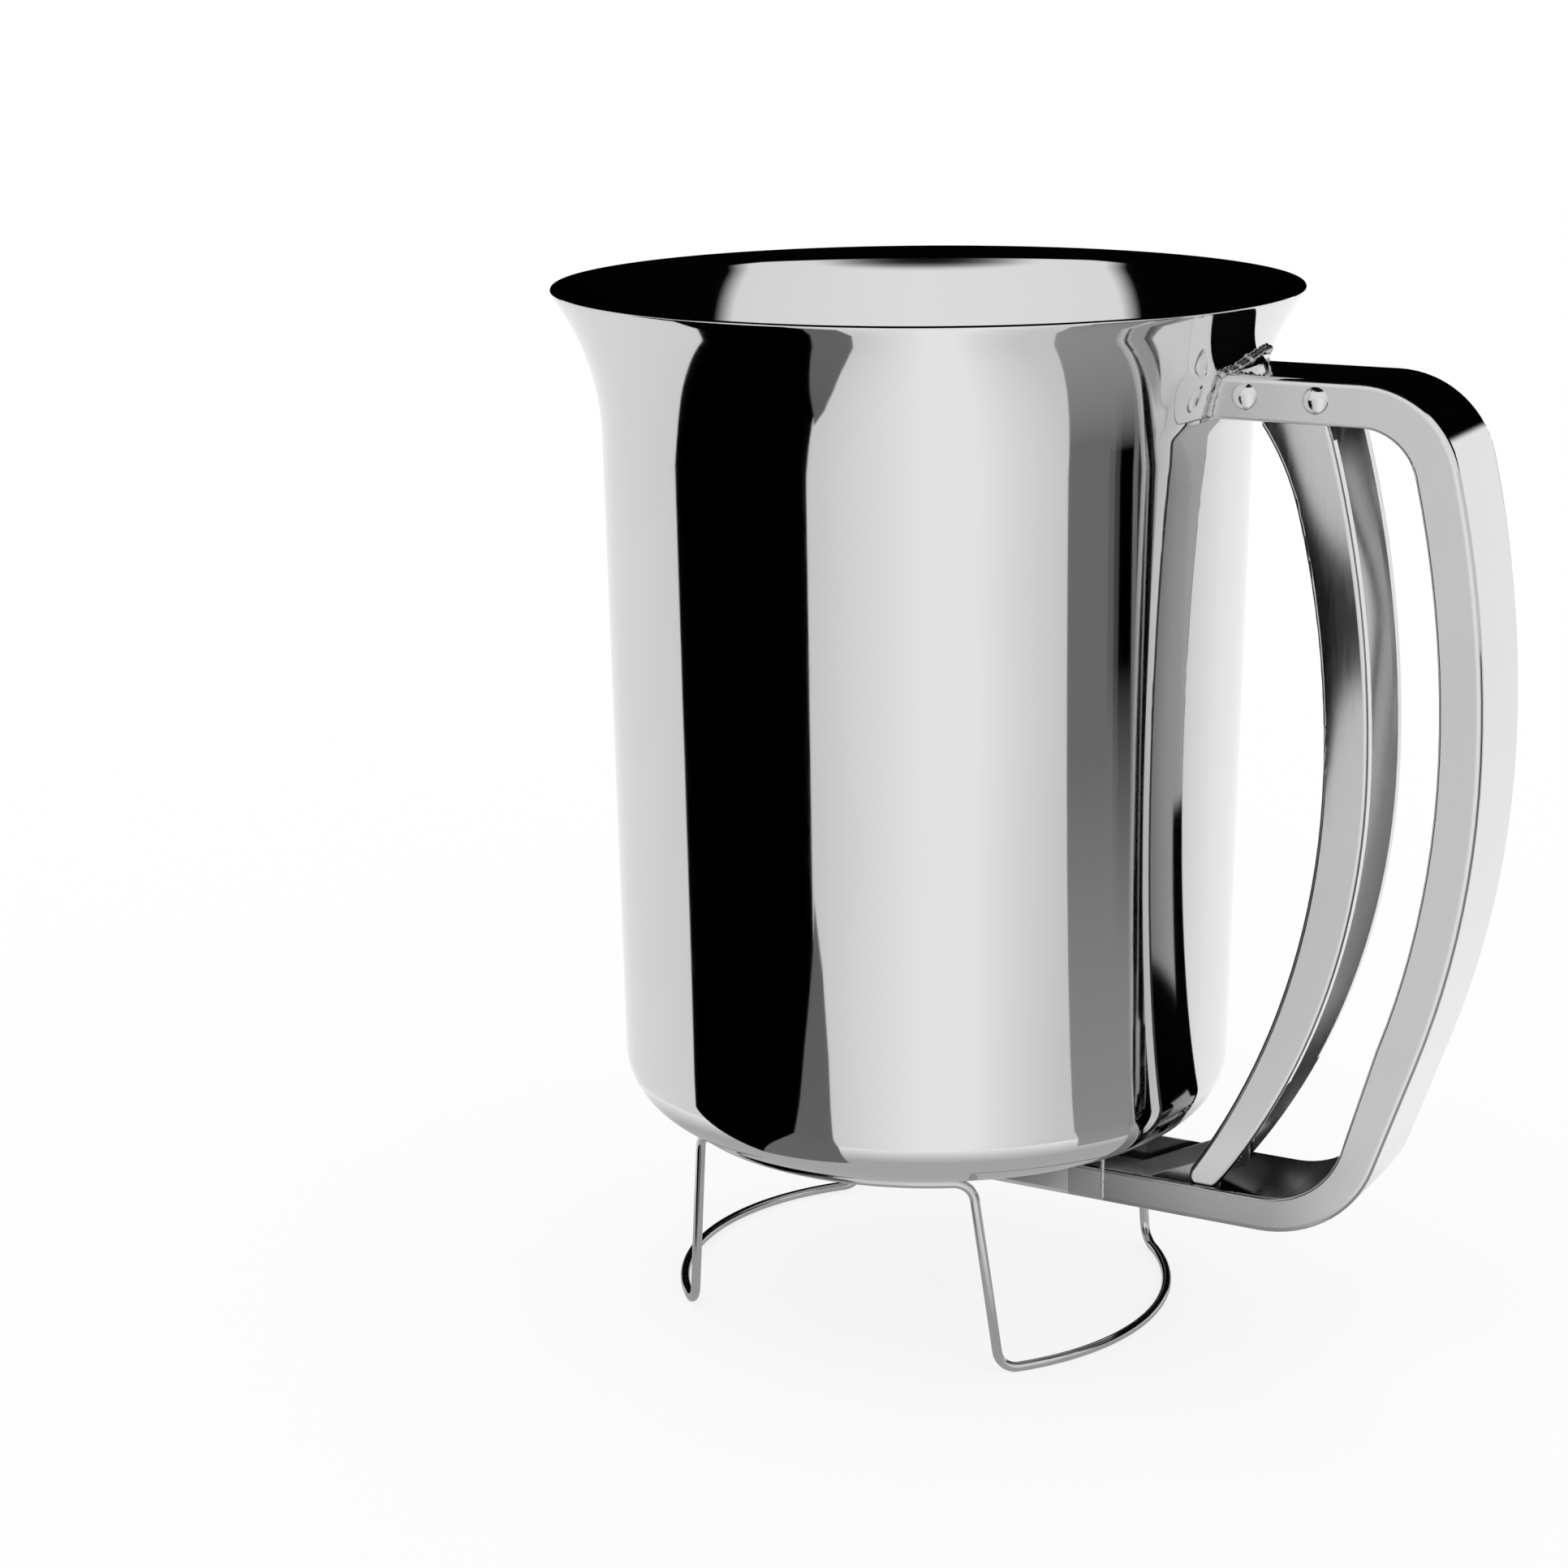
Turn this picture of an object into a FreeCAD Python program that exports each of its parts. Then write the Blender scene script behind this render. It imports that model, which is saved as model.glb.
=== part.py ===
import FreeCAD, Part
import math
import os

# Pancake batter dispenser: a flared steel vessel with an outlet in its base, a handle folded
# from one steel channel, a trigger lever inside the handle that draws a slide gate off the
# outlet, and a loose stand of bent wire.
# All sizes are in millimetres. +Z is up and +X points from the vessel to the grip. The shapes
# are drawn with the vessel's axis at X = 0 and the floor at Z = 0, and saved moved along X, so
# that the origin is under the middle of the whole.

V = FreeCAD.Vector

# Vessel, drawn from one sheet
SHEET = 0.8
VESSEL_HEIGHT = 137.0
RIM_RADIUS = 60.4
BASE_WALL_RADIUS = 50.85
WALL_TAPER_DEG = 0.92
BASE_CORNER_RADIUS = 9.7
FLARE_ANGLE_DEG = 32.0
FLARE_BEND_RADIUS = 40.0

# Outlet under the middle of the base
OUTLET_RADIUS = 7.0
COLLAR_WALL = 0.8
DRIP_HOLE_MARGIN = 0.5

# Wire stand, one closed loop
WIRE_RADIUS = 0.8
STAND_HEIGHT = 34.45
STAND_PLAN_RADIUS = 41.8
FOOT_CORNER_DEG = 46.8
BAR_CORNER_DEG = 53.3
WIRE_BEND = 3.2

# Handle channel
CHANNEL_WIDTH = 19.2
CHANNEL_DEPTH = 6.8
LOW_CHANNEL_DEPTH = 5.8
CHANNEL_BEND = 1.0
EDGE_ROUND = 0.5
ARM_DROP = 10.2
LOW_ARM_DROP = 10.6
GRIP_BEYOND_PIVOT = 27.9
GRIP_APEX_DROP = 56.4
GRIP_UPPER_RADIUS = 183.0
GRIP_LOWER_RADIUS = 152.0
GRIP_LEAN_DEG = 19.0
TOP_CORNER_RADIUS = 16.0
LOW_CORNER_RADIUS = 20.0
SEAT_LENGTH = 26.0
SEAT_RAMP = 5.0

# Rivets
RIVET_RADIUS = 1.0
RIVET_HEAD_RADIUS = 2.1
RIVET_HEAD_HEIGHT = 1.0
RIVET_DROP = 3.1
RIVET_FROM_WALL = 5.4
RIVET_SPACING = 11.3

# Bracket between the vessel and the top arm
BRACKET_BEYOND_RIVET = 2.0
BRACKET_DEPTH = 5.6

# Trigger channel
TRIGGER_WIDTH = 16.8
TRIGGER_WEB_BEYOND_PIVOT = 2.6
TRIGGER_DEPTH = 7.2
TRIGGER_APEX_DROP = 58.1
TRIGGER_UPPER_RADIUS = 158.0
TRIGGER_LOWER_RADIUS = 125.0
TRIGGER_EDGE_RADIUS = 188.0
TRIGGER_CURL_DEG = 15.0
TRIGGER_CURL_RADIUS = 39.0
EAR_BEFORE_PIVOT = 8.7
TRIGGER_BEND = 0.7
LIP_WIDTH = 2.2
LIP_TOP_DROP = 2.4
LIP_END_RISE = 18.0
TAIL_RADIUS = 2.5
TAIL_HEIGHT = 6.3
WEB_END_HEIGHT = 4.6

# Slide gate and its pin
GATE_THICKNESS = 0.8
GATE_PIN_RADIUS = 1.0
GATE_MARGIN = 0.5
GATE_TAIL_WIDTH = 14.0
GATE_EAR_HALF = 2.3
GATE_STEP_X = 33.0
GATE_STEP_RADIUS = 1.0
GATE_FLAT_TO_PIN = 8.6
GATE_ARM_LENGTH = 10.0
PIN_RISE = 0.3
PIN_DIP = 1.2

# Return spring, wound round the pivot rivet
SPRING_WIRE = 0.6
SPRING_TURNS = 6
SPRING_PITCH = 1.1
SPRING_ARM_LENGTH = 6.6
SPRING_LEG_LENGTH = 10.4

# Travel of the trigger, in degrees
TRIGGER_TRAVEL_DEG = 7.5

# Clearances
WELD_GAP = 0.1
RIVET_FIT = 0.03
PIVOT_CLEARANCE = 0.06
SLIDE_CLEARANCE = 0.1
PIN_CLEARANCE = 0.08
REST_GAP = 0.3
SPRING_CLEARANCE = 0.3
NESTED_FIT = 0.05
SPRING_SEAT = 0.2

# Places worked out from the sizes above
BASE_Z = STAND_HEIGHT
RIM_Z = BASE_Z + VESSEL_HEIGHT
ARM_TOP_Z = RIM_Z - ARM_DROP
LOW_WEB_Z = BASE_Z - LOW_ARM_DROP
GRIP_APEX_Z = ARM_TOP_Z - GRIP_APEX_DROP
RIVET_Z = ARM_TOP_Z - RIVET_DROP
TRIGGER_APEX_Z = RIVET_Z - TRIGGER_APEX_DROP
GATE_Z = LOW_WEB_Z + SHEET + SLIDE_CLEARANCE
GATE_TOP_Z = GATE_Z + GATE_THICKNESS
COLLAR_BOTTOM_Z = GATE_TOP_Z + SLIDE_CLEARANCE
TAIL_Z = LOW_WEB_Z + SHEET + TAIL_HEIGHT
CHANNEL_HALF = CHANNEL_WIDTH / 2
TRIGGER_HALF = TRIGGER_WIDTH / 2
GATE_HALF = OUTLET_RADIUS + COLLAR_WALL + GATE_MARGIN
EAR_RADIUS = RIVET_DROP - SHEET - REST_GAP
SPRING_RADIUS = RIVET_RADIUS + SPRING_CLEARANCE + SPRING_WIRE / 2
FLARE_AT_RIVETS = RIM_RADIUS - (RIM_Z - RIVET_Z) * math.tan(math.radians(FLARE_ANGLE_DEG))
TUBE_AT_RIVETS = BASE_WALL_RADIUS + (RIVET_Z - BASE_Z) * math.tan(math.radians(WALL_TAPER_DEG))
BRACKET_RIVET_X = max(FLARE_AT_RIVETS, TUBE_AT_RIVETS) + RIVET_FROM_WALL
BRACKET_END_X = BRACKET_RIVET_X + BRACKET_BEYOND_RIVET
PIVOT_X = BRACKET_RIVET_X + RIVET_SPACING
EAR_FRONT_X = PIVOT_X - EAR_BEFORE_PIVOT
TRIGGER_WEB_REACH = PIVOT_X + TRIGGER_WEB_BEYOND_PIVOT
GRIP_REACH = PIVOT_X + GRIP_BEYOND_PIVOT
RIM_REACH = RIM_RADIUS + SHEET / 2 * (1 - math.cos(math.radians(FLARE_ANGLE_DEG)))
SHIFT_X = (RIM_REACH - GRIP_REACH) / 2
FAR = 400.0
ON_FACE = 1e-4


# Geometry helpers

def polar(centre, radius, degrees):
    """Point at an angle from +X on a circle in the XZ plane, as (x, z)."""
    a = math.radians(degrees)
    return (centre[0] + radius * math.cos(a), centre[1] + radius * math.sin(a))


def at(point, y=0.0):
    """A (x, z) pair as a vector at the given Y."""
    return V(point[0], y, point[1])


def line(start, end):
    """Straight edge between two (x, z) points in the XZ plane."""
    return Part.makeLine(at(start), at(end))


def arc(centre, radius, first, last):
    """Arc in the XZ plane from one angle to another, in degrees from +X."""
    points = [at(polar(centre, radius, a)) for a in (first, (first + last) / 2, last)]
    return Part.Arc(*points).toShape()


def slab(edges, half_width):
    """Closed outline in the XZ plane, extruded to both sides of it."""
    face = Part.Face(Part.Wire(Part.__sortEdges__(edges)))
    face.translate(V(0, -half_width, 0))
    return face.extrude(V(0, 2 * half_width, 0))


def box(x0, x1, y0, y1, z0, z1):
    """Block between two corners."""
    return Part.makeBox(x1 - x0, y1 - y0, z1 - z0, V(x0, y0, z0))


def crossbar(x, z, radius, half_length):
    """Cylinder along Y, centred on the handle's plane."""
    return Part.makeCylinder(radius, 2 * half_length, V(x, -half_length, z), V(0, 1, 0))


def meet(p, p_deg, q, q_deg):
    """Crossing of two lines in a plane, each given by a point and its direction."""
    ax, az = math.cos(math.radians(p_deg)), math.sin(math.radians(p_deg))
    bx, bz = math.cos(math.radians(q_deg)), math.sin(math.radians(q_deg))
    s = ((q[0] - p[0]) * bz - (q[1] - p[1]) * bx) / (ax * bz - az * bx)
    return (p[0] + s * ax, p[1] + s * az)


def rounded(points, radii):
    """Edges through (x, z) points, with each inner corner rounded to its radius."""
    edges = []
    last = points[0]
    for before, corner, after, radius in zip(points, points[1:], points[2:], radii):
        a = V(before[0] - corner[0], 0, before[1] - corner[1]).normalize()
        b = V(after[0] - corner[0], 0, after[1] - corner[1]).normalize()
        half = a.getAngle(b) / 2
        reach = radius / math.tan(half)
        c = at(corner)
        start = c + a * reach
        end = c + b * reach
        bisector = (a + b).normalize()
        middle = c + bisector * (radius / math.sin(half) - radius)
        edges.append(Part.makeLine(at(last), start))
        edges.append(Part.Arc(start, middle, end).toShape())
        last = (end.x, end.z)
    edges.append(line(last, points[-1]))
    return edges


def side_edges(solid, half_width, web):
    """Edges in a channel's two side planes: first those on its web, then the others."""
    folds = []
    rims = []
    for edge in solid.Edges:
        bound = edge.BoundBox
        if bound.YLength > ON_FACE or abs(abs(bound.YMin) - half_width) > ON_FACE:
            continue
        middle = edge.valueAt((edge.FirstParameter + edge.LastParameter) / 2)
        spot = Part.Vertex(V(middle.x, 0, middle.z))
        on_web = min(spot.distToShape(w)[0] for w in web) < ON_FACE
        (folds if on_web else rims).append(edge)
    return folds, rims


def biarc(p0, t0, p1, t1):
    """Two arcs that join two points with given unit directions, smoothly at their middle."""
    v = p1 - p0
    t = t0 + t1
    k = 2 * (1 - t0.dot(t1))
    d = (math.sqrt(v.dot(t) ** 2 + k * v.dot(v)) - v.dot(t)) / k
    q0 = p0 + t0 * d
    q1 = p1 - t1 * d
    joint = (q0 + q1) * 0.5
    return [arc_to_control(p0, q0, joint), arc_to_control(joint, q1, p1)]


def arc_to_control(start, control, end):
    """Arc from start to end whose end tangents both pass through the control point."""
    chord_middle = (start + end) * 0.5
    rise = control - chord_middle
    half_chord = (end - start).Length / 2
    slope = math.atan2(rise.Length, half_chord)
    top = chord_middle + rise.normalize() * (half_chord * math.tan(slope / 2))
    return Part.Arc(start, top, end).toShape()


def tube(edges, radius, start, direction):
    """Round wire swept along a smooth path."""
    ring = Part.Wire(Part.makeCircle(radius, start, direction))
    return Part.Wire(edges).makePipeShell([ring], True, False)


# Vessel and outlet

def vessel_corners(offset):
    """Corner points of the vessel's outer line, moved inwards by offset."""
    wall_deg = 90 - WALL_TAPER_DEG
    flare_deg = 90 - FLARE_ANGLE_DEG
    floor_z = BASE_Z + offset
    taper = math.radians(WALL_TAPER_DEG)
    lean = math.radians(FLARE_ANGLE_DEG)
    wall_foot = (BASE_WALL_RADIUS - offset / math.cos(taper), BASE_Z)
    rim = (RIM_RADIUS - offset * math.cos(lean), RIM_Z + offset * math.sin(lean))
    base_corner = meet((0, floor_z), 0, wall_foot, wall_deg)
    neck = meet(wall_foot, wall_deg, rim, flare_deg)
    return (0, floor_z), base_corner, neck, rim


def vessel_line(offset):
    """Half outline of the vessel, from its axis to its rim, moved inwards by offset."""
    radii = (BASE_CORNER_RADIUS - offset, FLARE_BEND_RADIUS + offset)
    return rounded(vessel_corners(offset), radii)


def turned(edges):
    """Solid of revolution about the vessel's axis."""
    face = Part.Face(Part.Wire(Part.__sortEdges__(edges)))
    solid = face.revolve(V(0, 0, 0), V(0, 0, 1), 360)
    if solid.Volume < 0:
        solid.reverse()
    return solid


def make_vessel():
    """Drawn cup with a flared mouth, a rounded rim and the outlet hole in its flat base."""
    outer = vessel_line(0)
    inner = vessel_line(SHEET)
    outer_rim = at(vessel_corners(0)[3])
    inner_rim = at(vessel_corners(SHEET)[3])
    lip = math.radians(FLARE_ANGLE_DEG)
    up_flare = V(math.sin(lip), 0, math.cos(lip))
    crest = (outer_rim + inner_rim) * 0.5 + up_flare * (SHEET / 2)
    rim = Part.Arc(outer_rim, crest, inner_rim).toShape()
    centre = Part.makeLine(V(0, 0, BASE_Z), V(0, 0, BASE_Z + SHEET))
    shell = turned(outer + [rim] + inner + [centre])
    hole = Part.makeCylinder(OUTLET_RADIUS, 2 * SHEET, V(0, 0, BASE_Z - SHEET / 2))
    return shell.cut(hole)


def vessel_keepout():
    """Filled vessel, grown by the weld gap, that trims what is welded to its wall."""
    outer = vessel_line(-WELD_GAP)
    rim = vessel_corners(-WELD_GAP)[3]
    foot = vessel_corners(-WELD_GAP)[0]
    top = line(rim, (0, rim[1]))
    axis = line((0, rim[1]), foot)
    return turned(outer + [top, axis])


def make_collar():
    """Short tube under the base hole, ending just above the gate."""
    height = BASE_Z - COLLAR_BOTTOM_Z
    foot = V(0, 0, COLLAR_BOTTOM_Z)
    wall = Part.makeCylinder(OUTLET_RADIUS + COLLAR_WALL, height, foot)
    return wall.cut(Part.makeCylinder(OUTLET_RADIUS, height, foot))


# Handle

class Grip:
    """Centres and angles of the handle's side outline, all in the XZ plane."""
    upper = (GRIP_REACH - GRIP_UPPER_RADIUS, GRIP_APEX_Z)
    lower = (GRIP_REACH - GRIP_LOWER_RADIUS, GRIP_APEX_Z)
    top_corner_z = ARM_TOP_Z - TOP_CORNER_RADIUS
    rise = top_corner_z - GRIP_APEX_Z
    span = GRIP_UPPER_RADIUS - TOP_CORNER_RADIUS
    top_corner = (upper[0] + math.sqrt(span ** 2 - rise ** 2), top_corner_z)
    upper_deg = math.degrees(math.asin(rise / span))
    lean = math.radians(GRIP_LEAN_DEG)
    lean_end = polar(lower, GRIP_LOWER_RADIUS, -GRIP_LEAN_DEG)
    low_corner_z = LOW_WEB_Z + LOW_CORNER_RADIUS
    side = lean_end[0] * math.cos(lean) - lean_end[1] * math.sin(lean) - LOW_CORNER_RADIUS
    low_corner = ((side + low_corner_z * math.sin(lean)) / math.cos(lean), low_corner_z)


def handle_line(inset, low_inset):
    """Edges of the handle's outline, moved inwards from its web, from the top arm's start."""
    start = (0, ARM_TOP_Z - inset)
    top_end = (Grip.top_corner[0], ARM_TOP_Z - inset)
    lean_start = polar(Grip.lower, GRIP_LOWER_RADIUS - inset, -GRIP_LEAN_DEG)
    lean_end = polar(Grip.low_corner, LOW_CORNER_RADIUS - low_inset, -GRIP_LEAN_DEG)
    low_start = (Grip.low_corner[0], LOW_WEB_Z + low_inset)
    low_end = (-CHANNEL_HALF, LOW_WEB_Z + low_inset)
    return [
        line(start, top_end),
        arc(Grip.top_corner, TOP_CORNER_RADIUS - inset, 90, Grip.upper_deg),
        arc(Grip.upper, GRIP_UPPER_RADIUS - inset, Grip.upper_deg, 0),
        arc(Grip.lower, GRIP_LOWER_RADIUS - inset, 0, -GRIP_LEAN_DEG),
        line(lean_start, lean_end),
        arc(Grip.low_corner, LOW_CORNER_RADIUS - low_inset, -GRIP_LEAN_DEG, -90),
        line(low_start, low_end),
    ]


def handle_strip(outer, low_outer, inner, low_inner, half_width):
    """Solid between two insets of the handle's outline."""
    outside = handle_line(outer, low_outer)
    inside = handle_line(inner, low_inner)
    top = line((0, ARM_TOP_Z - outer), (0, ARM_TOP_Z - inner))
    low_end = -CHANNEL_HALF
    low = line((low_end, LOW_WEB_Z + low_outer), (low_end, LOW_WEB_Z + low_inner))
    return slab(outside + [low] + inside + [top], half_width)


def make_handle():
    """One folded channel: top arm, grip and lower arm, with its seat under the base."""
    outside = handle_strip(0, 0, CHANNEL_DEPTH, LOW_CHANNEL_DEPTH, CHANNEL_HALF)
    web = handle_line(0, 0)
    outside = outside.makeFillet(EDGE_ROUND, side_edges(outside, CHANNEL_HALF, web)[1])
    outside = outside.makeFillet(CHANNEL_BEND, side_edges(outside, CHANNEL_HALF, web)[0])
    deep = CHANNEL_DEPTH + SHEET
    low_deep = LOW_CHANNEL_DEPTH + SHEET
    hollow = handle_strip(SHEET, SHEET, deep, low_deep, CHANNEL_HALF - SHEET)
    channel = outside.cut(hollow).cut(vessel_keepout())
    channel = channel.fuse(seat_flanges()).removeSplitter()
    channel = channel.cut(low_end_trim())
    drip_radius = OUTLET_RADIUS + DRIP_HOLE_MARGIN
    channel = channel.cut(Part.makeCylinder(drip_radius, 2 * SHEET, V(0, 0, LOW_WEB_Z - SHEET / 2)))
    for x in (BRACKET_RIVET_X, PIVOT_X):
        channel = channel.cut(crossbar(x, RIVET_Z, RIVET_RADIUS + RIVET_FIT, CHANNEL_WIDTH))
    return channel


def seat_flanges():
    """Raised part of both lower flanges, whose top edges are welded to the flat base."""
    foot_z = LOW_WEB_Z + LOW_CHANNEL_DEPTH - SHEET
    outline = [
        (0, foot_z),
        (SEAT_LENGTH + SEAT_RAMP, foot_z),
        (SEAT_LENGTH + SEAT_RAMP, foot_z + SHEET),
        (SEAT_LENGTH, BASE_Z),
        (0, BASE_Z),
        (0, foot_z),
    ]
    edges = [line(a, b) for a, b in zip(outline, outline[1:])]
    both = slab(edges, CHANNEL_HALF)
    return both.cut(slab(edges, CHANNEL_HALF - SHEET))


def low_end_trim():
    """Waste beyond the lower arm's half-round end, which ends its flanges at the outlet."""
    low = LOW_WEB_Z - SHEET
    waste = box(-2 * CHANNEL_HALF, 0, -CHANNEL_WIDTH, CHANNEL_WIDTH, low, BASE_Z)
    tongue = Part.makeCylinder(CHANNEL_HALF, 2 * SHEET, V(0, 0, low))
    return waste.cut(tongue)


def make_bracket():
    """Small channel welded to the vessel inside the top arm, which the first rivet holds."""
    half = CHANNEL_HALF - SHEET - NESTED_FIT
    top = ARM_TOP_Z - SHEET - NESTED_FIT
    body = box(0, BRACKET_END_X, -half, half, top - BRACKET_DEPTH, top)
    hollow_half = half - SHEET
    hollow = box(-1, FAR, -hollow_half, hollow_half, top - 2 * BRACKET_DEPTH, top - SHEET)
    body = body.cut(hollow).cut(vessel_keepout())
    hole = crossbar(BRACKET_RIVET_X, RIVET_Z, RIVET_RADIUS + RIVET_FIT, CHANNEL_WIDTH)
    return body.cut(hole)


def make_rivet(x):
    """Rivet across the top arm: a shank with a domed head on each flange."""
    cap_radius = (RIVET_HEAD_RADIUS ** 2 + RIVET_HEAD_HEIGHT ** 2) / (2 * RIVET_HEAD_HEIGHT)
    inset = CHANNEL_HALF + RIVET_HEAD_HEIGHT - cap_radius
    rivet = crossbar(x, RIVET_Z, RIVET_RADIUS, CHANNEL_HALF)
    for side in (-1, 1):
        ball = Part.makeSphere(cap_radius, V(x, side * inset, RIVET_Z))
        face = side * CHANNEL_HALF
        outer = face + side * RIVET_HEAD_HEIGHT
        y0, y1 = min(face, outer), max(face, outer)
        reach = 2 * RIVET_HEAD_RADIUS
        room = box(x - reach, x + reach, y0, y1, RIVET_Z - reach, RIVET_Z + reach)
        rivet = rivet.fuse(ball.common(room))
    return rivet.removeSplitter()


# Trigger

class Lever:
    """Centres and angles of the trigger's side outline, all in the XZ plane."""
    web_upper = (TRIGGER_WEB_REACH - TRIGGER_UPPER_RADIUS, TRIGGER_APEX_Z)
    web_lower = (TRIGGER_WEB_REACH - TRIGGER_LOWER_RADIUS, TRIGGER_APEX_Z)
    curl_start = polar(web_upper, TRIGGER_UPPER_RADIUS, TRIGGER_CURL_DEG)
    curl = polar(curl_start, -TRIGGER_CURL_RADIUS, TRIGGER_CURL_DEG)
    curl_end_deg = math.degrees(math.acos((EAR_FRONT_X - curl[0]) / TRIGGER_CURL_RADIUS))
    ear_foot = polar(curl, TRIGGER_CURL_RADIUS, curl_end_deg)
    ear_top_z = RIVET_Z + EAR_RADIUS
    edge_apex = TRIGGER_WEB_REACH + TRIGGER_DEPTH
    edge_upper = (edge_apex - TRIGGER_EDGE_RADIUS, TRIGGER_APEX_Z)
    edge_top_z = ARM_TOP_Z - CHANNEL_DEPTH + SHEET
    edge_top_deg = math.degrees(math.asin((edge_top_z - TRIGGER_APEX_Z) / TRIGGER_EDGE_RADIUS))
    # The tail's circle rolls on the web's lower arc, at the height of the gate's pin.
    tail_drop = TAIL_Z - TRIGGER_APEX_Z
    tail_orbit = TRIGGER_LOWER_RADIUS + TAIL_RADIUS
    tail = (web_lower[0] + math.sqrt(tail_orbit ** 2 - tail_drop ** 2), TAIL_Z)
    tail_in_deg = math.degrees(math.atan2(tail_drop, tail[0] - web_lower[0]))
    # The free edge's lower arc is upright at the apex and runs into the tail's circle.
    u = tail[0] - edge_apex
    edge_lower_radius = (u ** 2 + tail_drop ** 2 - TAIL_RADIUS ** 2) / (-2 * (u + TAIL_RADIUS))
    edge_lower = (edge_apex - edge_lower_radius, TRIGGER_APEX_Z)
    tail_out_deg = math.degrees(math.atan2(tail_drop, tail[0] - edge_lower[0]))


def lever_web(inset):
    """Edges of the trigger's web face, moved into the lever by inset, from tail to ear."""
    lower = TRIGGER_LOWER_RADIUS + inset
    upper = TRIGGER_UPPER_RADIUS + inset
    curl = TRIGGER_CURL_RADIUS + inset
    return [
        arc(Lever.web_lower, lower, Lever.tail_in_deg, 0),
        arc(Lever.web_upper, upper, 0, TRIGGER_CURL_DEG),
        arc(Lever.curl, curl, TRIGGER_CURL_DEG, Lever.curl_end_deg),
    ]


def lever_outline():
    """Whole side outline of the trigger: web, ear round the pivot, free edge and tail."""
    ear_front = (EAR_FRONT_X, Lever.ear_top_z)
    ear_back = (PIVOT_X, Lever.ear_top_z)
    nose = (PIVOT_X + EAR_RADIUS, RIVET_Z)
    edge_top = polar(Lever.edge_upper, TRIGGER_EDGE_RADIUS, Lever.edge_top_deg)
    return lever_web(0) + [
        line(Lever.ear_foot, ear_front),
        line(ear_front, ear_back),
        arc((PIVOT_X, RIVET_Z), EAR_RADIUS, 90, 0),
        line(nose, edge_top),
        arc(Lever.edge_upper, TRIGGER_EDGE_RADIUS, Lever.edge_top_deg, 0),
        arc(Lever.edge_lower, Lever.edge_lower_radius, 0, Lever.tail_out_deg),
        arc(Lever.tail, TAIL_RADIUS, Lever.tail_out_deg, Lever.tail_in_deg - 180),
    ]


def make_trigger():
    """Folded channel, open to the grip, with lipped edges, two ears and a round tail."""
    outside = slab(lever_outline(), TRIGGER_HALF)
    # The tail runs smoothly from the web into the free edge, so the bend goes round with it.
    outside = outside.makeFillet(TRIGGER_BEND, side_edges(outside, TRIGGER_HALF, lever_web(0))[0])
    trigger = outside.cut(lever_hollow()).fuse(outside.common(lip_room())).removeSplitter()
    hole = crossbar(PIVOT_X, RIVET_Z, RIVET_RADIUS + PIVOT_CLEARANCE, TRIGGER_WIDTH)
    return trigger.cut(hole)


def lip_room():
    """Band along the free edges, one sheet thick, where both flanges turn inwards."""
    top_z = ARM_TOP_Z - CHANNEL_DEPTH - LIP_TOP_DROP
    top_deg = math.degrees(math.asin((top_z - TRIGGER_APEX_Z) / TRIGGER_EDGE_RADIUS))
    end_z = TAIL_Z + LIP_END_RISE
    end_deg = math.degrees(math.asin((end_z - TRIGGER_APEX_Z) / Lever.edge_lower_radius))
    ends = []
    edges = []
    for inset in (0, SHEET):
        upper = TRIGGER_EDGE_RADIUS - inset
        lower = Lever.edge_lower_radius - inset
        edges.append(arc(Lever.edge_upper, upper, top_deg, 0))
        edges.append(arc(Lever.edge_lower, lower, 0, end_deg))
        ends.append(polar(Lever.edge_upper, upper, top_deg))
        ends.append(polar(Lever.edge_lower, lower, end_deg))
    edges.append(line(ends[0], ends[2]))
    edges.append(line(ends[1], ends[3]))
    mouth = TRIGGER_HALF - LIP_WIDTH
    return slab(edges, TRIGGER_HALF).cut(box(0, FAR, -mouth, mouth, 0, RIM_Z))


def lever_hollow():
    """Space between the flanges: behind the web, and open past both of its ends."""
    half = TRIGGER_HALF - SHEET
    inner = lever_web(SHEET)
    low = inner[0].Vertexes[0].Point
    high = inner[-1].Vertexes[-1].Point
    start = (low.x, low.z)
    end = (high.x, high.z)
    beyond = TRIGGER_WEB_REACH + 2 * TRIGGER_DEPTH
    rear = [end, (end[0], end[1] + TRIGGER_DEPTH), (beyond, end[1] + TRIGGER_DEPTH),
            (beyond, start[1] - TRIGGER_DEPTH), (start[0], start[1] - TRIGGER_DEPTH), start]
    edges = inner + [line(a, b) for a, b in zip(rear, rear[1:])]
    behind = slab(edges, half)
    below = box(0, FAR, -half, half, 0, TAIL_Z + WEB_END_HEIGHT)
    above = box(0, FAR, -half, half, Lever.ear_foot[1], RIM_Z)
    return behind.fuse(below).fuse(above)


# Gate and pin

def make_gate_pin():
    """Pin welded between the flanges of the trigger's tail."""
    return crossbar(Lever.tail[0], Lever.tail[1], GATE_PIN_RADIUS, TRIGGER_HALF - SHEET)


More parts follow.
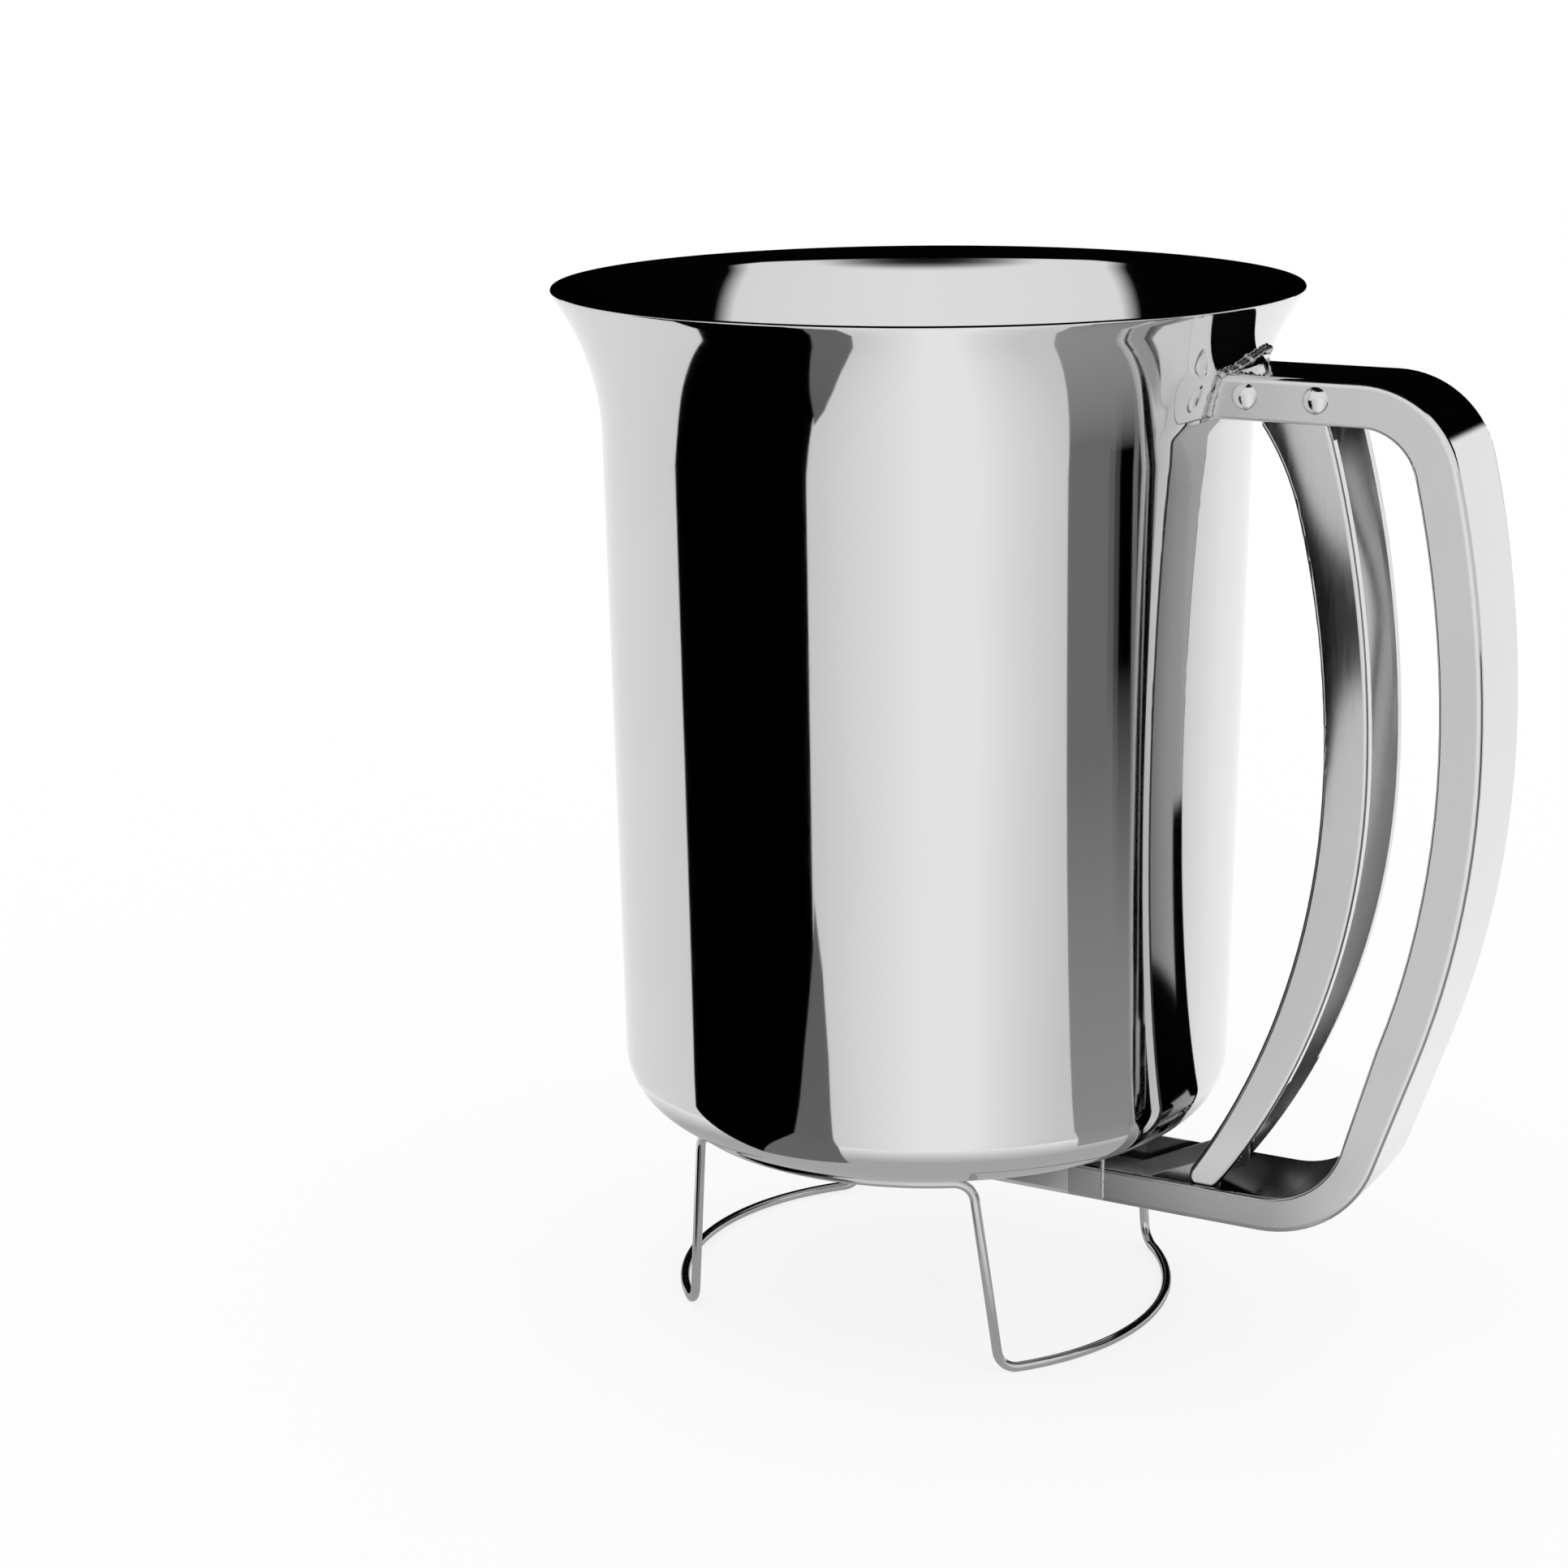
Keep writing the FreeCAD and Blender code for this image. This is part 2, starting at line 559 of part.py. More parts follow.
def make_gate():
    """Flat slide under the collar, with two slotted arms that the tail's pin draws."""
    pin_x, pin_z = Lever.tail
    tail_half = GATE_TAIL_WIDTH / 2
    flat_end = pin_x - GATE_FLAT_TO_PIN
    slot_low = pin_z - PIN_DIP
    slot_high = pin_z + PIN_RISE
    disc = Part.makeCylinder(GATE_HALF, GATE_THICKNESS, V(0, 0, GATE_Z))
    wide = box(0, GATE_STEP_X, -GATE_HALF, GATE_HALF, GATE_Z, GATE_TOP_Z)
    steps = [e for e in wide.Edges if is_upright_at(e, GATE_STEP_X)]
    narrow = box(0, flat_end, -tail_half, tail_half, GATE_Z, GATE_TOP_Z)
    gate = disc.fuse(wide.makeFillet(GATE_STEP_RADIUS, steps)).fuse(narrow)
    arms = slab(gate_arm_outline(slot_low, slot_high), tail_half)
    inner_half = tail_half - GATE_THICKNESS
    arms = arms.cut(box(0, FAR, -inner_half, inner_half, GATE_TOP_Z, RIM_Z))
    slot_half = GATE_PIN_RADIUS + PIN_CLEARANCE
    slot = box(pin_x - slot_half, pin_x + slot_half, -tail_half, tail_half, slot_low, slot_high)
    for z in (slot_low, slot_high):
        slot = slot.fuse(crossbar(pin_x, z, slot_half, tail_half))
    return gate.fuse(arms.cut(slot)).removeSplitter()


def gate_arm_outline(slot_low, slot_high):
    """Side outline of the gate's arms: from the flat strip up to a round end at the pin."""
    pin_x = Lever.tail[0]
    low = (pin_x, slot_low - GATE_EAR_HALF)
    nose_low = (pin_x + GATE_EAR_HALF, slot_low)
    nose_high = (pin_x + GATE_EAR_HALF, slot_high)
    high = (pin_x, slot_high + GATE_EAR_HALF)
    flat_end = (pin_x - GATE_FLAT_TO_PIN, GATE_Z)
    root = (flat_end[0] - GATE_ARM_LENGTH, GATE_Z)
    return [
        line(root, flat_end),
        line(flat_end, low),
        arc((pin_x, slot_low), GATE_EAR_HALF, -90, 0),
        line(nose_low, nose_high),
        arc((pin_x, slot_high), GATE_EAR_HALF, 0, 90),
        line(high, root),
    ]


def is_upright_at(edge, x):
    """True for an upright edge at the given X."""
    bound = edge.BoundBox
    upright = bound.XLength < ON_FACE and bound.YLength < ON_FACE
    return upright and abs(bound.XMin - x) < ON_FACE


# Return spring

def spring_angles():
    """Angles round the pivot where the coil starts and ends, and the foot of its long leg."""
    rest = ARM_TOP_Z - SHEET - SPRING_WIRE / 2 - NESTED_FIT
    arm_rise = rest - (RIVET_Z + SPRING_RADIUS)
    first = 90 + math.degrees(math.atan2(arm_rise, SPRING_ARM_LENGTH))
    foot = trigger_leg_foot()
    away = V(foot[0] - PIVOT_X, 0, foot[1] - RIVET_Z)
    spread = math.degrees(math.acos(SPRING_RADIUS / away.Length))
    last = math.degrees(math.atan2(away.z, away.x)) - spread + 360 * SPRING_TURNS
    if last < first + 360 * (SPRING_TURNS - 1):
        last = last + 360
    return first, last, foot


def coil_points(steps):
    """Points on the coil's axis line with the line's direction at each, in equal steps."""
    first, last, _ = spring_angles()
    coil_length = SPRING_PITCH * (last - first) / 360
    slope = SPRING_PITCH / (2 * math.pi * SPRING_RADIUS)
    points = []
    for i in range(steps + 1):
        a = math.radians(first + (last - first) * i / steps)
        y = coil_length * (i / steps - 0.5)
        spot = polar((PIVOT_X, RIVET_Z), SPRING_RADIUS, math.degrees(a))
        tangent = V(-math.sin(a), slope, math.cos(a)).normalize()
        points.append((at(spot, y), tangent))
    return points


def trigger_leg_foot():
    """Where the long leg ends, against the inside of the trigger's web."""
    drop = SPRING_LEG_LENGTH
    z = RIVET_Z - drop
    inner = TRIGGER_CURL_RADIUS + SHEET + SPRING_WIRE / 2 + SPRING_SEAT
    rise = z - Lever.curl[1]
    return (Lever.curl[0] + math.sqrt(inner ** 2 - rise ** 2), z)


def make_spring():
    """Torsion spring round the pivot rivet, one unbroken tube."""
    first, last, foot = spring_angles()
    points = coil_points(4 * math.ceil((last - first) / 360))
    start, start_dir = points[0]
    end = points[-1][0]
    tip = start - V(start_dir.x, 0, start_dir.z).normalize() * SPRING_ARM_LENGTH
    edges = [Part.makeLine(tip, start)]
    for (p0, t0), (p1, t1) in zip(points, points[1:]):
        edges.extend(biarc(p0, t0, p1, t1))
    edges.append(Part.makeLine(end, at(foot, end.y)))
    return tube(edges, SPRING_WIRE / 2, tip, start - tip)


def spring_gap_to_itself():
    """Least distance between neighbouring turns of the coil, from many points on it."""
    first, last, _ = spring_angles()
    per_turn = 36
    points = [p for p, _ in coil_points(int(per_turn * (last - first) / 360))]
    gaps = []
    for i, p in enumerate(points):
        for q in points[i + per_turn // 2:]:
            gaps.append((p - q).Length - SPRING_WIRE)
    return min(gaps)


# Wire stand

def stand_quarter():
    """Path of a quarter of the stand, from the middle of a floor arc to that of a bar."""
    foot_z = WIRE_RADIUS
    bar_z = STAND_HEIGHT - WIRE_RADIUS
    foot = math.radians(-FOOT_CORNER_DEG)
    bar = math.radians(-BAR_CORNER_DEG)
    trim = WIRE_BEND / STAND_PLAN_RADIUS

    def spot(angle, z):
        return V(STAND_PLAN_RADIUS * math.cos(angle), STAND_PLAN_RADIUS * math.sin(angle), z)

    def along(angle):
        return V(math.sin(angle), -math.cos(angle), 0)

    foot_corner = spot(foot, foot_z)
    bar_corner = spot(bar, bar_z)
    leg = (bar_corner - foot_corner).normalize()
    leg_low = foot_corner + leg * WIRE_BEND
    leg_high = bar_corner - leg * WIRE_BEND
    floor_end = spot(foot + trim, foot_z)
    bar_start = spot(bar - trim, bar_z)
    start = spot(0, foot_z)
    floor = Part.Arc(start, spot((foot + trim) / 2, foot_z), floor_end).toShape()
    end = spot(-math.pi / 2, bar_z)
    top = Part.Arc(bar_start, spot((bar - trim - math.pi / 2) / 2, bar_z), end).toShape()
    edges = [floor]
    edges.extend(biarc(floor_end, along(foot + trim), leg_low, leg))
    edges.append(Part.makeLine(leg_low, leg_high))
    edges.extend(biarc(leg_high, leg, bar_start, along(bar - trim)))
    edges.append(top)
    return edges, start


def make_stand():
    """Closed loop of round wire: two floor arcs, four legs and two bars under the base."""
    edges, start = stand_quarter()
    quarter = tube(edges, WIRE_RADIUS, start, V(0, -1, 0))
    half = quarter.fuse(quarter.mirror(V(0, 0, 0), V(0, 1, 0)))
    return half.fuse(half.mirror(V(0, 0, 0), V(1, 0, 0))).removeSplitter()


NODES = {
    "vessel": make_vessel,
    "outlet_collar": make_collar,
    "handle": make_handle,
    "arm_bracket": make_bracket,
    "bracket_rivet": lambda: make_rivet(BRACKET_RIVET_X),
    "pivot_rivet": lambda: make_rivet(PIVOT_X),
    "trigger": make_trigger,
    "return_spring": make_spring,
    "gate_pin": make_gate_pin,
    "slide_gate": make_gate,
    "wire_stand": make_stand,
}


def gate_travel():
    """How far the pin draws the gate over the trigger's travel, and how far the pin sinks."""
    pin_x = Lever.tail[0] - PIVOT_X
    pin_drop = RIVET_Z - TAIL_Z
    reach = math.hypot(pin_x, pin_drop)
    start = math.atan2(pin_x, pin_drop)
    end = start + math.radians(TRIGGER_TRAVEL_DEG)
    return reach * (math.sin(end) - math.sin(start)), reach * (1 - math.cos(start))


def main():
    os.makedirs("parts", exist_ok=True)
    for name, make in NODES.items():
        shape = make()
        if len(shape.Solids) == 1:
            shape = shape.Solids[0]
        shape.translate(V(SHIFT_X, 0, 0))
        shape.exportStep("parts/" + name + ".step")
        bound = shape.optimalBoundingBox()
        low = (bound.XMin, bound.YMin, bound.ZMin)
        high = (bound.XMax, bound.YMax, bound.ZMax)
        print(name, len(shape.Solids), shape.isValid(), "%.0f mm3" % shape.Volume,
              "from %.2f %.2f %.2f" % low, "to %.2f %.2f %.2f" % high)
    travel, dip = gate_travel()
    print("moved along X by %.3f" % SHIFT_X)
    print("pivot x %.3f z %.3f" % (PIVOT_X + SHIFT_X, RIVET_Z))
    print("gate travel %.3f, pin sinks by %.3f" % (travel, dip))
    print("spring's least gap to itself %.3f" % spring_gap_to_itself())


main()
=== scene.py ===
# %% [markdown]
# # Pancake batter dispenser
# The whole object is stainless steel: a drawn vessel, a handle and a trigger folded from strip,
# and a stand bent from wire. Polished steel has almost no colour of its own. It shows what
# stands round it, so this lesson spends as much care on the room as on the metal.

import math

import bpy
import numpy as np
from mathutils import Matrix, Vector


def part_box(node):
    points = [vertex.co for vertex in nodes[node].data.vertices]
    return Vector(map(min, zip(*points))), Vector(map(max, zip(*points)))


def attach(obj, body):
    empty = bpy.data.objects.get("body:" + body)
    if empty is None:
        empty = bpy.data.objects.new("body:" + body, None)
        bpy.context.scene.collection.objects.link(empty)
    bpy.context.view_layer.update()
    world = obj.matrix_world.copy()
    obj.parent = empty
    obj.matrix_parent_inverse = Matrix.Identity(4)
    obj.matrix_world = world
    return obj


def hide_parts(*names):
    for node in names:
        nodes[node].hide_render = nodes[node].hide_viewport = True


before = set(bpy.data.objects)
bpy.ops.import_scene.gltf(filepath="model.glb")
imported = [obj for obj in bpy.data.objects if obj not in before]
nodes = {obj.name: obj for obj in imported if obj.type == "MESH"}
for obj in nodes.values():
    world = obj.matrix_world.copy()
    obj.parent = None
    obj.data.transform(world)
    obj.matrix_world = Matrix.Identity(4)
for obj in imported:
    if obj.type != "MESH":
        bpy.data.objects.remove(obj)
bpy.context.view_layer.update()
MM = 0.001

# %% [markdown]
# A colour picked from a screen is an sRGB value, but Blender's sockets take linear light. One
# function turns a hex value into linear numbers, so each colour below can be read as a painter
# would write it.

# %% Colours
def linear(hex_value):
    """sRGB hex to linear RGBA: c / 12.92 under 0.04045, else ((c + 0.055) / 1.055) ^ 2.4."""
    c = np.array([int(hex_value[i:i + 2], 16) for i in (1, 3, 5)]) / 255.0
    rgb = np.where(c <= 0.04045, c / 12.92, ((c + 0.055) / 1.055) ** 2.4)
    return (*rgb.tolist(), 1.0)


print("steel's pale grey in linear light:", linear("#E2E2E4")[:3])

# %% [markdown]
# Materials are node trees. One small function adds a node, gives it its settings and links its
# inputs, so that a tree reads from top to bottom like a list of steps.

# %% One function for every node
def add(tree, kind, settings=None, **inputs):
    """Add a node. Settings are attributes; inputs are values or sockets, by name or index."""
    node = tree.nodes.new(kind)
    for name, value in (settings or {}).items():
        setattr(node, name, value)
    for name, value in inputs.items():
        key = int(name[1:]) if name[0] == "i" and name[1:].isdigit() else name.replace("_", " ")
        socket = node.inputs[key]
        if isinstance(value, bpy.types.NodeSocket):
            tree.links.new(value, socket)
        else:
            socket.default_value = value
    return node


def new_material(name):
    """A material with an empty tree: its Principled shader and the output it feeds."""
    material = bpy.data.materials.new(name)
    material.use_nodes = True
    tree = material.node_tree
    tree.nodes.clear()
    shader = tree.nodes.new("ShaderNodeBsdfPrincipled")
    output = tree.nodes.new("ShaderNodeOutputMaterial")
    tree.links.new(shader.outputs[0], output.inputs[0])
    return material, tree, shader


print("node trees are built by", add.__name__, "and", new_material.__name__)

# %% [markdown]
# Each steel below is the same metal with another finish. What changes is how rough the surface
# is, how it was rubbed, and how flat the sheet stayed in its tool. Roughness sets how sharp a
# reflection is, and a very small bump bends it, which is what tells real sheet from a perfect
# mirror. A noise stays mostly within NOISE_RANGE, so that range carries the roughness's spread.

# %% One function for every steel
NOISE_RANGE = (0.3, 0.7)
GRAIN_DETAIL = 3.0
WAVE_DETAIL = 1.0


def steel(name, tint, rough, rough_spread, grain_mm, bump_mm, wave_mm, wave_bump_mm):
    """A steel: tint, roughness with a spread, fine grain and long waves, sizes in millimetres."""
    material, tree, shader = new_material(name)
    coords = add(tree, "ShaderNodeTexCoord").outputs["Object"]
    grain_scale = [1 / MM / size for size in grain_mm]
    grain_place = add(tree, "ShaderNodeMapping", Vector=coords, Scale=grain_scale)
    grain = add(tree, "ShaderNodeTexNoise", Vector=grain_place.outputs[0], Scale=1.0,
                Detail=GRAIN_DETAIL)
    wave = add(tree, "ShaderNodeTexNoise", Vector=coords, Scale=1 / MM / wave_mm,
               Detail=WAVE_DETAIL)
    spread = add(tree, "ShaderNodeMapRange", Value=grain.outputs["Fac"],
                 From_Min=NOISE_RANGE[0], From_Max=NOISE_RANGE[1],
                 To_Min=rough - rough_spread, To_Max=rough + rough_spread)
    colour = add(tree, "ShaderNodeMix", {"data_type": "RGBA"}, Factor=wave.outputs["Fac"],
                 i6=linear(tint[0]), i7=linear(tint[1]))
    long_bump = add(tree, "ShaderNodeBump", Height=wave.outputs["Fac"], Strength=1.0,
                    Distance=wave_bump_mm * MM)
    fine_bump = add(tree, "ShaderNodeBump", Height=grain.outputs["Fac"], Strength=1.0,
                    Distance=bump_mm * MM, Normal=long_bump.outputs[0])
    tree.links.new(colour.outputs[2], shader.inputs["Base Color"])
    tree.links.new(spread.outputs[0], shader.inputs["Roughness"])
    tree.links.new(fine_bump.outputs[0], shader.inputs["Normal"])
    shader.inputs["Metallic"].default_value = 1.0
    print(name, "is rough by", rough)
    return material


print("a steel's roughness spreads over the noise from", NOISE_RANGE[0], "to", NOISE_RANGE[1])

# %% [markdown]
# Eight finishes cover the whole object. They differ by the tool that made each of them, from
# the polishing wheel on the cup to the plain brush on the welds.

# %% Steel finishes
# Mirror polish on a drawn cup: the wheel leaves almost nothing, the drawing a slow waviness.
mirror_steel = steel("mirror_polished_stainless", ("#E1E1E1", "#E6E6E6"), rough=0.045,
                     rough_spread=0.008, grain_mm=(0.6, 0.6, 8.0), bump_mm=0.0001,
                     wave_mm=34.0, wave_bump_mm=0.008)
# Satin strip: rolled, folded, then rubbed along its length, so reflections are soft.
satin_steel = steel("satin_stainless_strip", ("#DEDEDE", "#E4E4E4"), rough=0.20,
                    rough_spread=0.015, grain_mm=(0.5, 0.5, 6.0), bump_mm=0.00008,
                    wave_mm=26.0, wave_bump_mm=0.006)
# Bright strip for the trigger, rubbed less than the handle.
bright_steel = steel("bright_stainless_strip", ("#DADADA", "#E0E0E0"), rough=0.16,
                     rough_spread=0.015, grain_mm=(0.5, 0.5, 6.0), bump_mm=0.00006,
                     wave_mm=24.0, wave_bump_mm=0.006)
# Plain rolled sheet, as it comes from the mill, for what hides under the base.
mill_steel = steel("mill_finish_stainless", ("#BFBFBF", "#CBCBCB"), rough=0.34,
                   rough_spread=0.06, grain_mm=(0.5, 2.5, 0.5), bump_mm=0.0006,
                   wave_mm=12.0, wave_bump_mm=0.006)
# Headed rivets: pressed, then tumbled bright.
rivet_steel = steel("tumbled_rivet_steel", ("#DCDCDC", "#E4E4E4"), rough=0.12,
                    rough_spread=0.04, grain_mm=(0.4, 0.4, 0.4), bump_mm=0.0015,
                    wave_mm=3.0, wave_bump_mm=0.008)
# Drawn spring wire: darker, with a fine grain.
spring_steel = steel("drawn_spring_wire", ("#9D9D9D", "#B0B0B0"), rough=0.28,
                     rough_spread=0.08, grain_mm=(0.2, 0.2, 0.2), bump_mm=0.0010,
                     wave_mm=2.0, wave_bump_mm=0.004)
# Stand wire: drawn stainless, brightened in acid and polished.
wire_steel = steel("bright_stainless_wire", ("#C9C9C9", "#D8D8D8"), rough=0.12,
                   rough_spread=0.04, grain_mm=(0.4, 0.4, 0.4), bump_mm=0.0006,
                   wave_mm=5.0, wave_bump_mm=0.004)
# Weld metal: it froze in ripples and was only brushed over, so it is rough and a little darker.
weld_steel = steel("brushed_weld_metal", ("#B4B4B4", "#D0D0D0"), rough=0.30,
                   rough_spread=0.10, grain_mm=(0.5, 0.5, 0.5), bump_mm=0.0200,
                   wave_mm=1.6, wave_bump_mm=0.060)

# %% [markdown]
# The strip's two kinds of face are not finished alike. The flanks are rubbed on a belt after
# folding and stay satin, while the web, which the palm touches, is polished. Both lie in one
# solid, so the face's own direction chooses: flanks look along Y.

# %% Polished webs
WEB_ROUGHNESS = 0.06
WEB_TO_FLANK = (0.55, 0.85)
SMOOTH = {"interpolation_type": "SMOOTHSTEP"}


def principled(material):
    """A material's node tree and the Principled shader in it."""
    tree = material.node_tree
    return tree, next(node for node in tree.nodes if node.type == "BSDF_PRINCIPLED")


def facing(tree):
    """Where a face looks: the x of its normal, and |y|, which is 1 on a flank."""
    normal = add(tree, "ShaderNodeTexCoord").outputs["Normal"]
    xyz = add(tree, "ShaderNodeSeparateXYZ", Vector=normal).outputs
    aside = add(tree, "ShaderNodeMath", {"operation": "ABSOLUTE"}, i0=xyz[1]).outputs[0]
    return xyz[0], aside


def polish_webs(material, rough):
    """Roughness goes from rough to the satin value as |normal y| goes through WEB_TO_FLANK."""
    tree, shader = principled(material)
    _, aside = facing(tree)
    flank = add(tree, "ShaderNodeMapRange", SMOOTH, Value=aside, From_Min=WEB_TO_FLANK[0],
                From_Max=WEB_TO_FLANK[1]).outputs[0]
    satin = shader.inputs["Roughness"].links[0].from_socket
    both = add(tree, "ShaderNodeMix", Factor=flank, i2=rough, i3=satin)
    tree.links.new(both.outputs[0], shader.inputs["Roughness"])


polish_webs(satin_steel, WEB_ROUGHNESS)
polish_webs(bright_steel, WEB_ROUGHNESS)
print("webs polished to a roughness of", WEB_ROUGHNESS)

# %% [markdown]
# The trigger's folds stand in shade, and that shade is painted into the tint: the tint is darkened
# there, so that the trigger's web is edged with thin dark lines. The same direction finds its
# folds: their normals lie between the flank's and the web's, which looks along -X. The web's own
# back faces the cup and gets a lighter painted shade, greyer than the flanks.

# %% Painted shade in the folds
FOLD_SHADE = 0.10
BACK_SHADE = 0.62
LOOKS_BACK = (-0.15, -0.05)
FOLD_TO_FLANK = (0.90, 0.985)
BACK_TO_FOLD = (0.08, 0.20)
TIMES = {"operation": "MULTIPLY"}


def shade_tint(material, share, shade):
    """Multiply the tint by shade: in full where share is 1, not at all where it is 0."""
    tree, shader = principled(material)
    tint = shader.inputs["Base Color"].links[0].from_socket
    shaded = add(tree, "ShaderNodeMix", {"data_type": "RGBA", "blend_type": "MULTIPLY"},
                 Factor=share, i6=tint, i7=shade)
    tree.links.new(shaded.outputs[2], shader.inputs["Base Color"])


def paint_fold_shade(material):
    """Painted shade: tint times BACK_SHADE where the normal is -X, FOLD_SHADE on the way there."""
    tree = material.node_tree
    x, aside = facing(tree)
    leaves = add(tree, "ShaderNodeMapRange", SMOOTH, Value=x, From_Min=LOOKS_BACK[0],
                 From_Max=LOOKS_BACK[1], To_Min=1.0, To_Max=0.0).outputs[0]
    arrives = add(tree, "ShaderNodeMapRange", SMOOTH, Value=aside, From_Min=FOLD_TO_FLANK[0],
                  From_Max=FOLD_TO_FLANK[1], To_Min=1.0, To_Max=0.0).outputs[0]
    fold = add(tree, "ShaderNodeMath", TIMES, i0=leaves, i1=arrives).outputs[0]
    shade = add(tree, "ShaderNodeMapRange", SMOOTH, Value=aside, From_Min=BACK_TO_FOLD[0],
                From_Max=BACK_TO_FOLD[1], To_Min=BACK_SHADE, To_Max=FOLD_SHADE).outputs[0]
    shade_tint(material, fold, shade)


# Painted shade in the trigger's folds and on the back of its web.
paint_fold_shade(bright_steel)
print("folds of the trigger kept at", FOLD_SHADE, "of the sheet's tint")

# %% [markdown]
# The lower arm sits close under the cup, in its shade, and that shade is painted into the tint:
# from the grip's corner to the seam the steel is darkened, the flanks to FLANK_SHADE and the web
# inside to WEB_SHADE. A second painted shade starts a little before the seam, right under the cup,
# and fades out along the arm.

# %% Painted shade on the lower arm
SEAM_X = 18.8
FLANK_SHADE = 0.62
WEB_SHADE = 0.35
SHADE_TURN = (0.4, 0.8)
ARM_SHADE_X = (48.0, 66.0)
ARM_SHADE_Z = (36.0, 44.0)
CHEEK_START_X = 12.6
CHEEK_SHADE_X = (15.0, 36.0)
CHEEK_SHADE = 0.60


def place(tree):
    """The x, y and z of a point on the object, in metres."""
    coords = add(tree, "ShaderNodeTexCoord").outputs["Object"]
    return add(tree, "ShaderNodeSeparateXYZ", Vector=coords).outputs


def paint_arm_shade(material):
    """Painted shade: the tint beyond the seam times two shades, and again times a ramp under the
    cup.
    """
    tree = material.node_tree
    x, _, z = place(tree)
    _, aside = facing(tree)
    along = add(tree, "ShaderNodeMapRange", Value=x, From_Min=ARM_SHADE_X[0] * MM,
                From_Max=ARM_SHADE_X[1] * MM, To_Min=1.0, To_Max=0.0).outputs[0]
    below = add(tree, "ShaderNodeMapRange", Value=z, From_Min=ARM_SHADE_Z[0] * MM,
                From_Max=ARM_SHADE_Z[1] * MM, To_Min=1.0, To_Max=0.0).outputs[0]
    beyond = add(tree, "ShaderNodeMath", {"operation": "GREATER_THAN"}, i0=x,
                 i1=SEAM_X * MM).outputs[0]
    area = add(tree, "ShaderNodeMath", TIMES, i0=along, i1=below).outputs[0]
    share = add(tree, "ShaderNodeMath", TIMES, i0=area, i1=beyond).outputs[0]
    shade = add(tree, "ShaderNodeMapRange", Value=aside, From_Min=SHADE_TURN[0],
                From_Max=SHADE_TURN[1], To_Min=WEB_SHADE, To_Max=FLANK_SHADE).outputs[0]
    shade_tint(material, share, shade)
    ramp = add(tree, "ShaderNodeMapRange", Value=x, From_Min=CHEEK_SHADE_X[0] * MM,
               From_Max=CHEEK_SHADE_X[1] * MM, To_Min=CHEEK_SHADE, To_Max=1.0).outputs[0]
    begun = add(tree, "ShaderNodeMath", {"operation": "GREATER_THAN"}, i0=x,
                i1=CHEEK_START_X * MM).outputs[0]
    cheek = add(tree, "ShaderNodeMath", TIMES, i0=begun, i1=below).outputs[0]
    shade_tint(material, cheek, ramp)


# Painted shade on the lower arm, under the cup.
paint_arm_shade(satin_steel)
print("the lower arm keeps", FLANK_SHADE, "of the tint on its flanks,", WEB_SHADE, "inside")

# %% [markdown]
# Sheet that has been folded or drawn is never quite flat. The unevenness is too slight to see
# as a shape, but a mirror shows it, because what a mirror reflects depends on where its surface
# faces. So the solids stay as they are, and only the normal that the shader uses is tilted.

# %% Tilting the normal
OPEN_ENDED = {"clamp": False}


def bell(tree, value, middle, spread):
    """exp(-((value - middle) / spread)^2), sizes in millimetres."""
    away = add(tree, "ShaderNodeMapRange", OPEN_ENDED, Value=value, From_Min=middle * MM,
               From_Max=(middle + spread) * MM).outputs[0]
    square = add(tree, "ShaderNodeMath", TIMES, i0=away, i1=away).outputs[0]
    return add(tree, "ShaderNodeMath", {"operation": "POWER"}, i0=1 / math.e,
               i1=square).outputs[0]


def push_normal(material, amounts):
    """Add a vector (three values or sockets) to the normal the shader uses, then unit it."""
    tree, shader = principled(material)
    push = add(tree, "ShaderNodeCombineXYZ", i0=amounts[0], i1=amounts[1], i2=amounts[2])
    smooth = shader.inputs["Normal"].links[0].from_socket
    total = add(tree, "ShaderNodeVectorMath", {"operation": "ADD"}, i0=smooth,
                i1=push.outputs[0])
    tilted = add(tree, "ShaderNodeVectorMath", {"operation": "NORMALIZE"}, i0=total.outputs[0])
    tree.links.new(tilted.outputs[0], shader.inputs["Normal"])


print("a push of 0.1 tilts a normal by", round(math.degrees(math.atan(0.1)), 1), "degrees")

# %% [markdown]
# Folding leaves a strip a little bowed. On the trigger's flanks the bow is a shallow hollow
# under the arm and a slight roll towards the web, which the mirror turns into a dark cloud and
# a dark edge. The hollow is a bell curve of the height, the roll dies away from the web's side,
# and the web's side is taken as a parabola of WEB_RADIUS through its foremost point.

# %% Bow in the trigger's strip
HOLLOW_HEIGHT = 125.0
HOLLOW_SPREAD = 15.0
HOLLOW_DEGREES = 5.8
ROLL_DEGREES = 6.0
ROLL_WIDTH = 1.6
ROLL_RANGE = (84.0, 108.0)
WEB_APEX = (54.1, 100.0)
WEB_RADIUS = 150.0


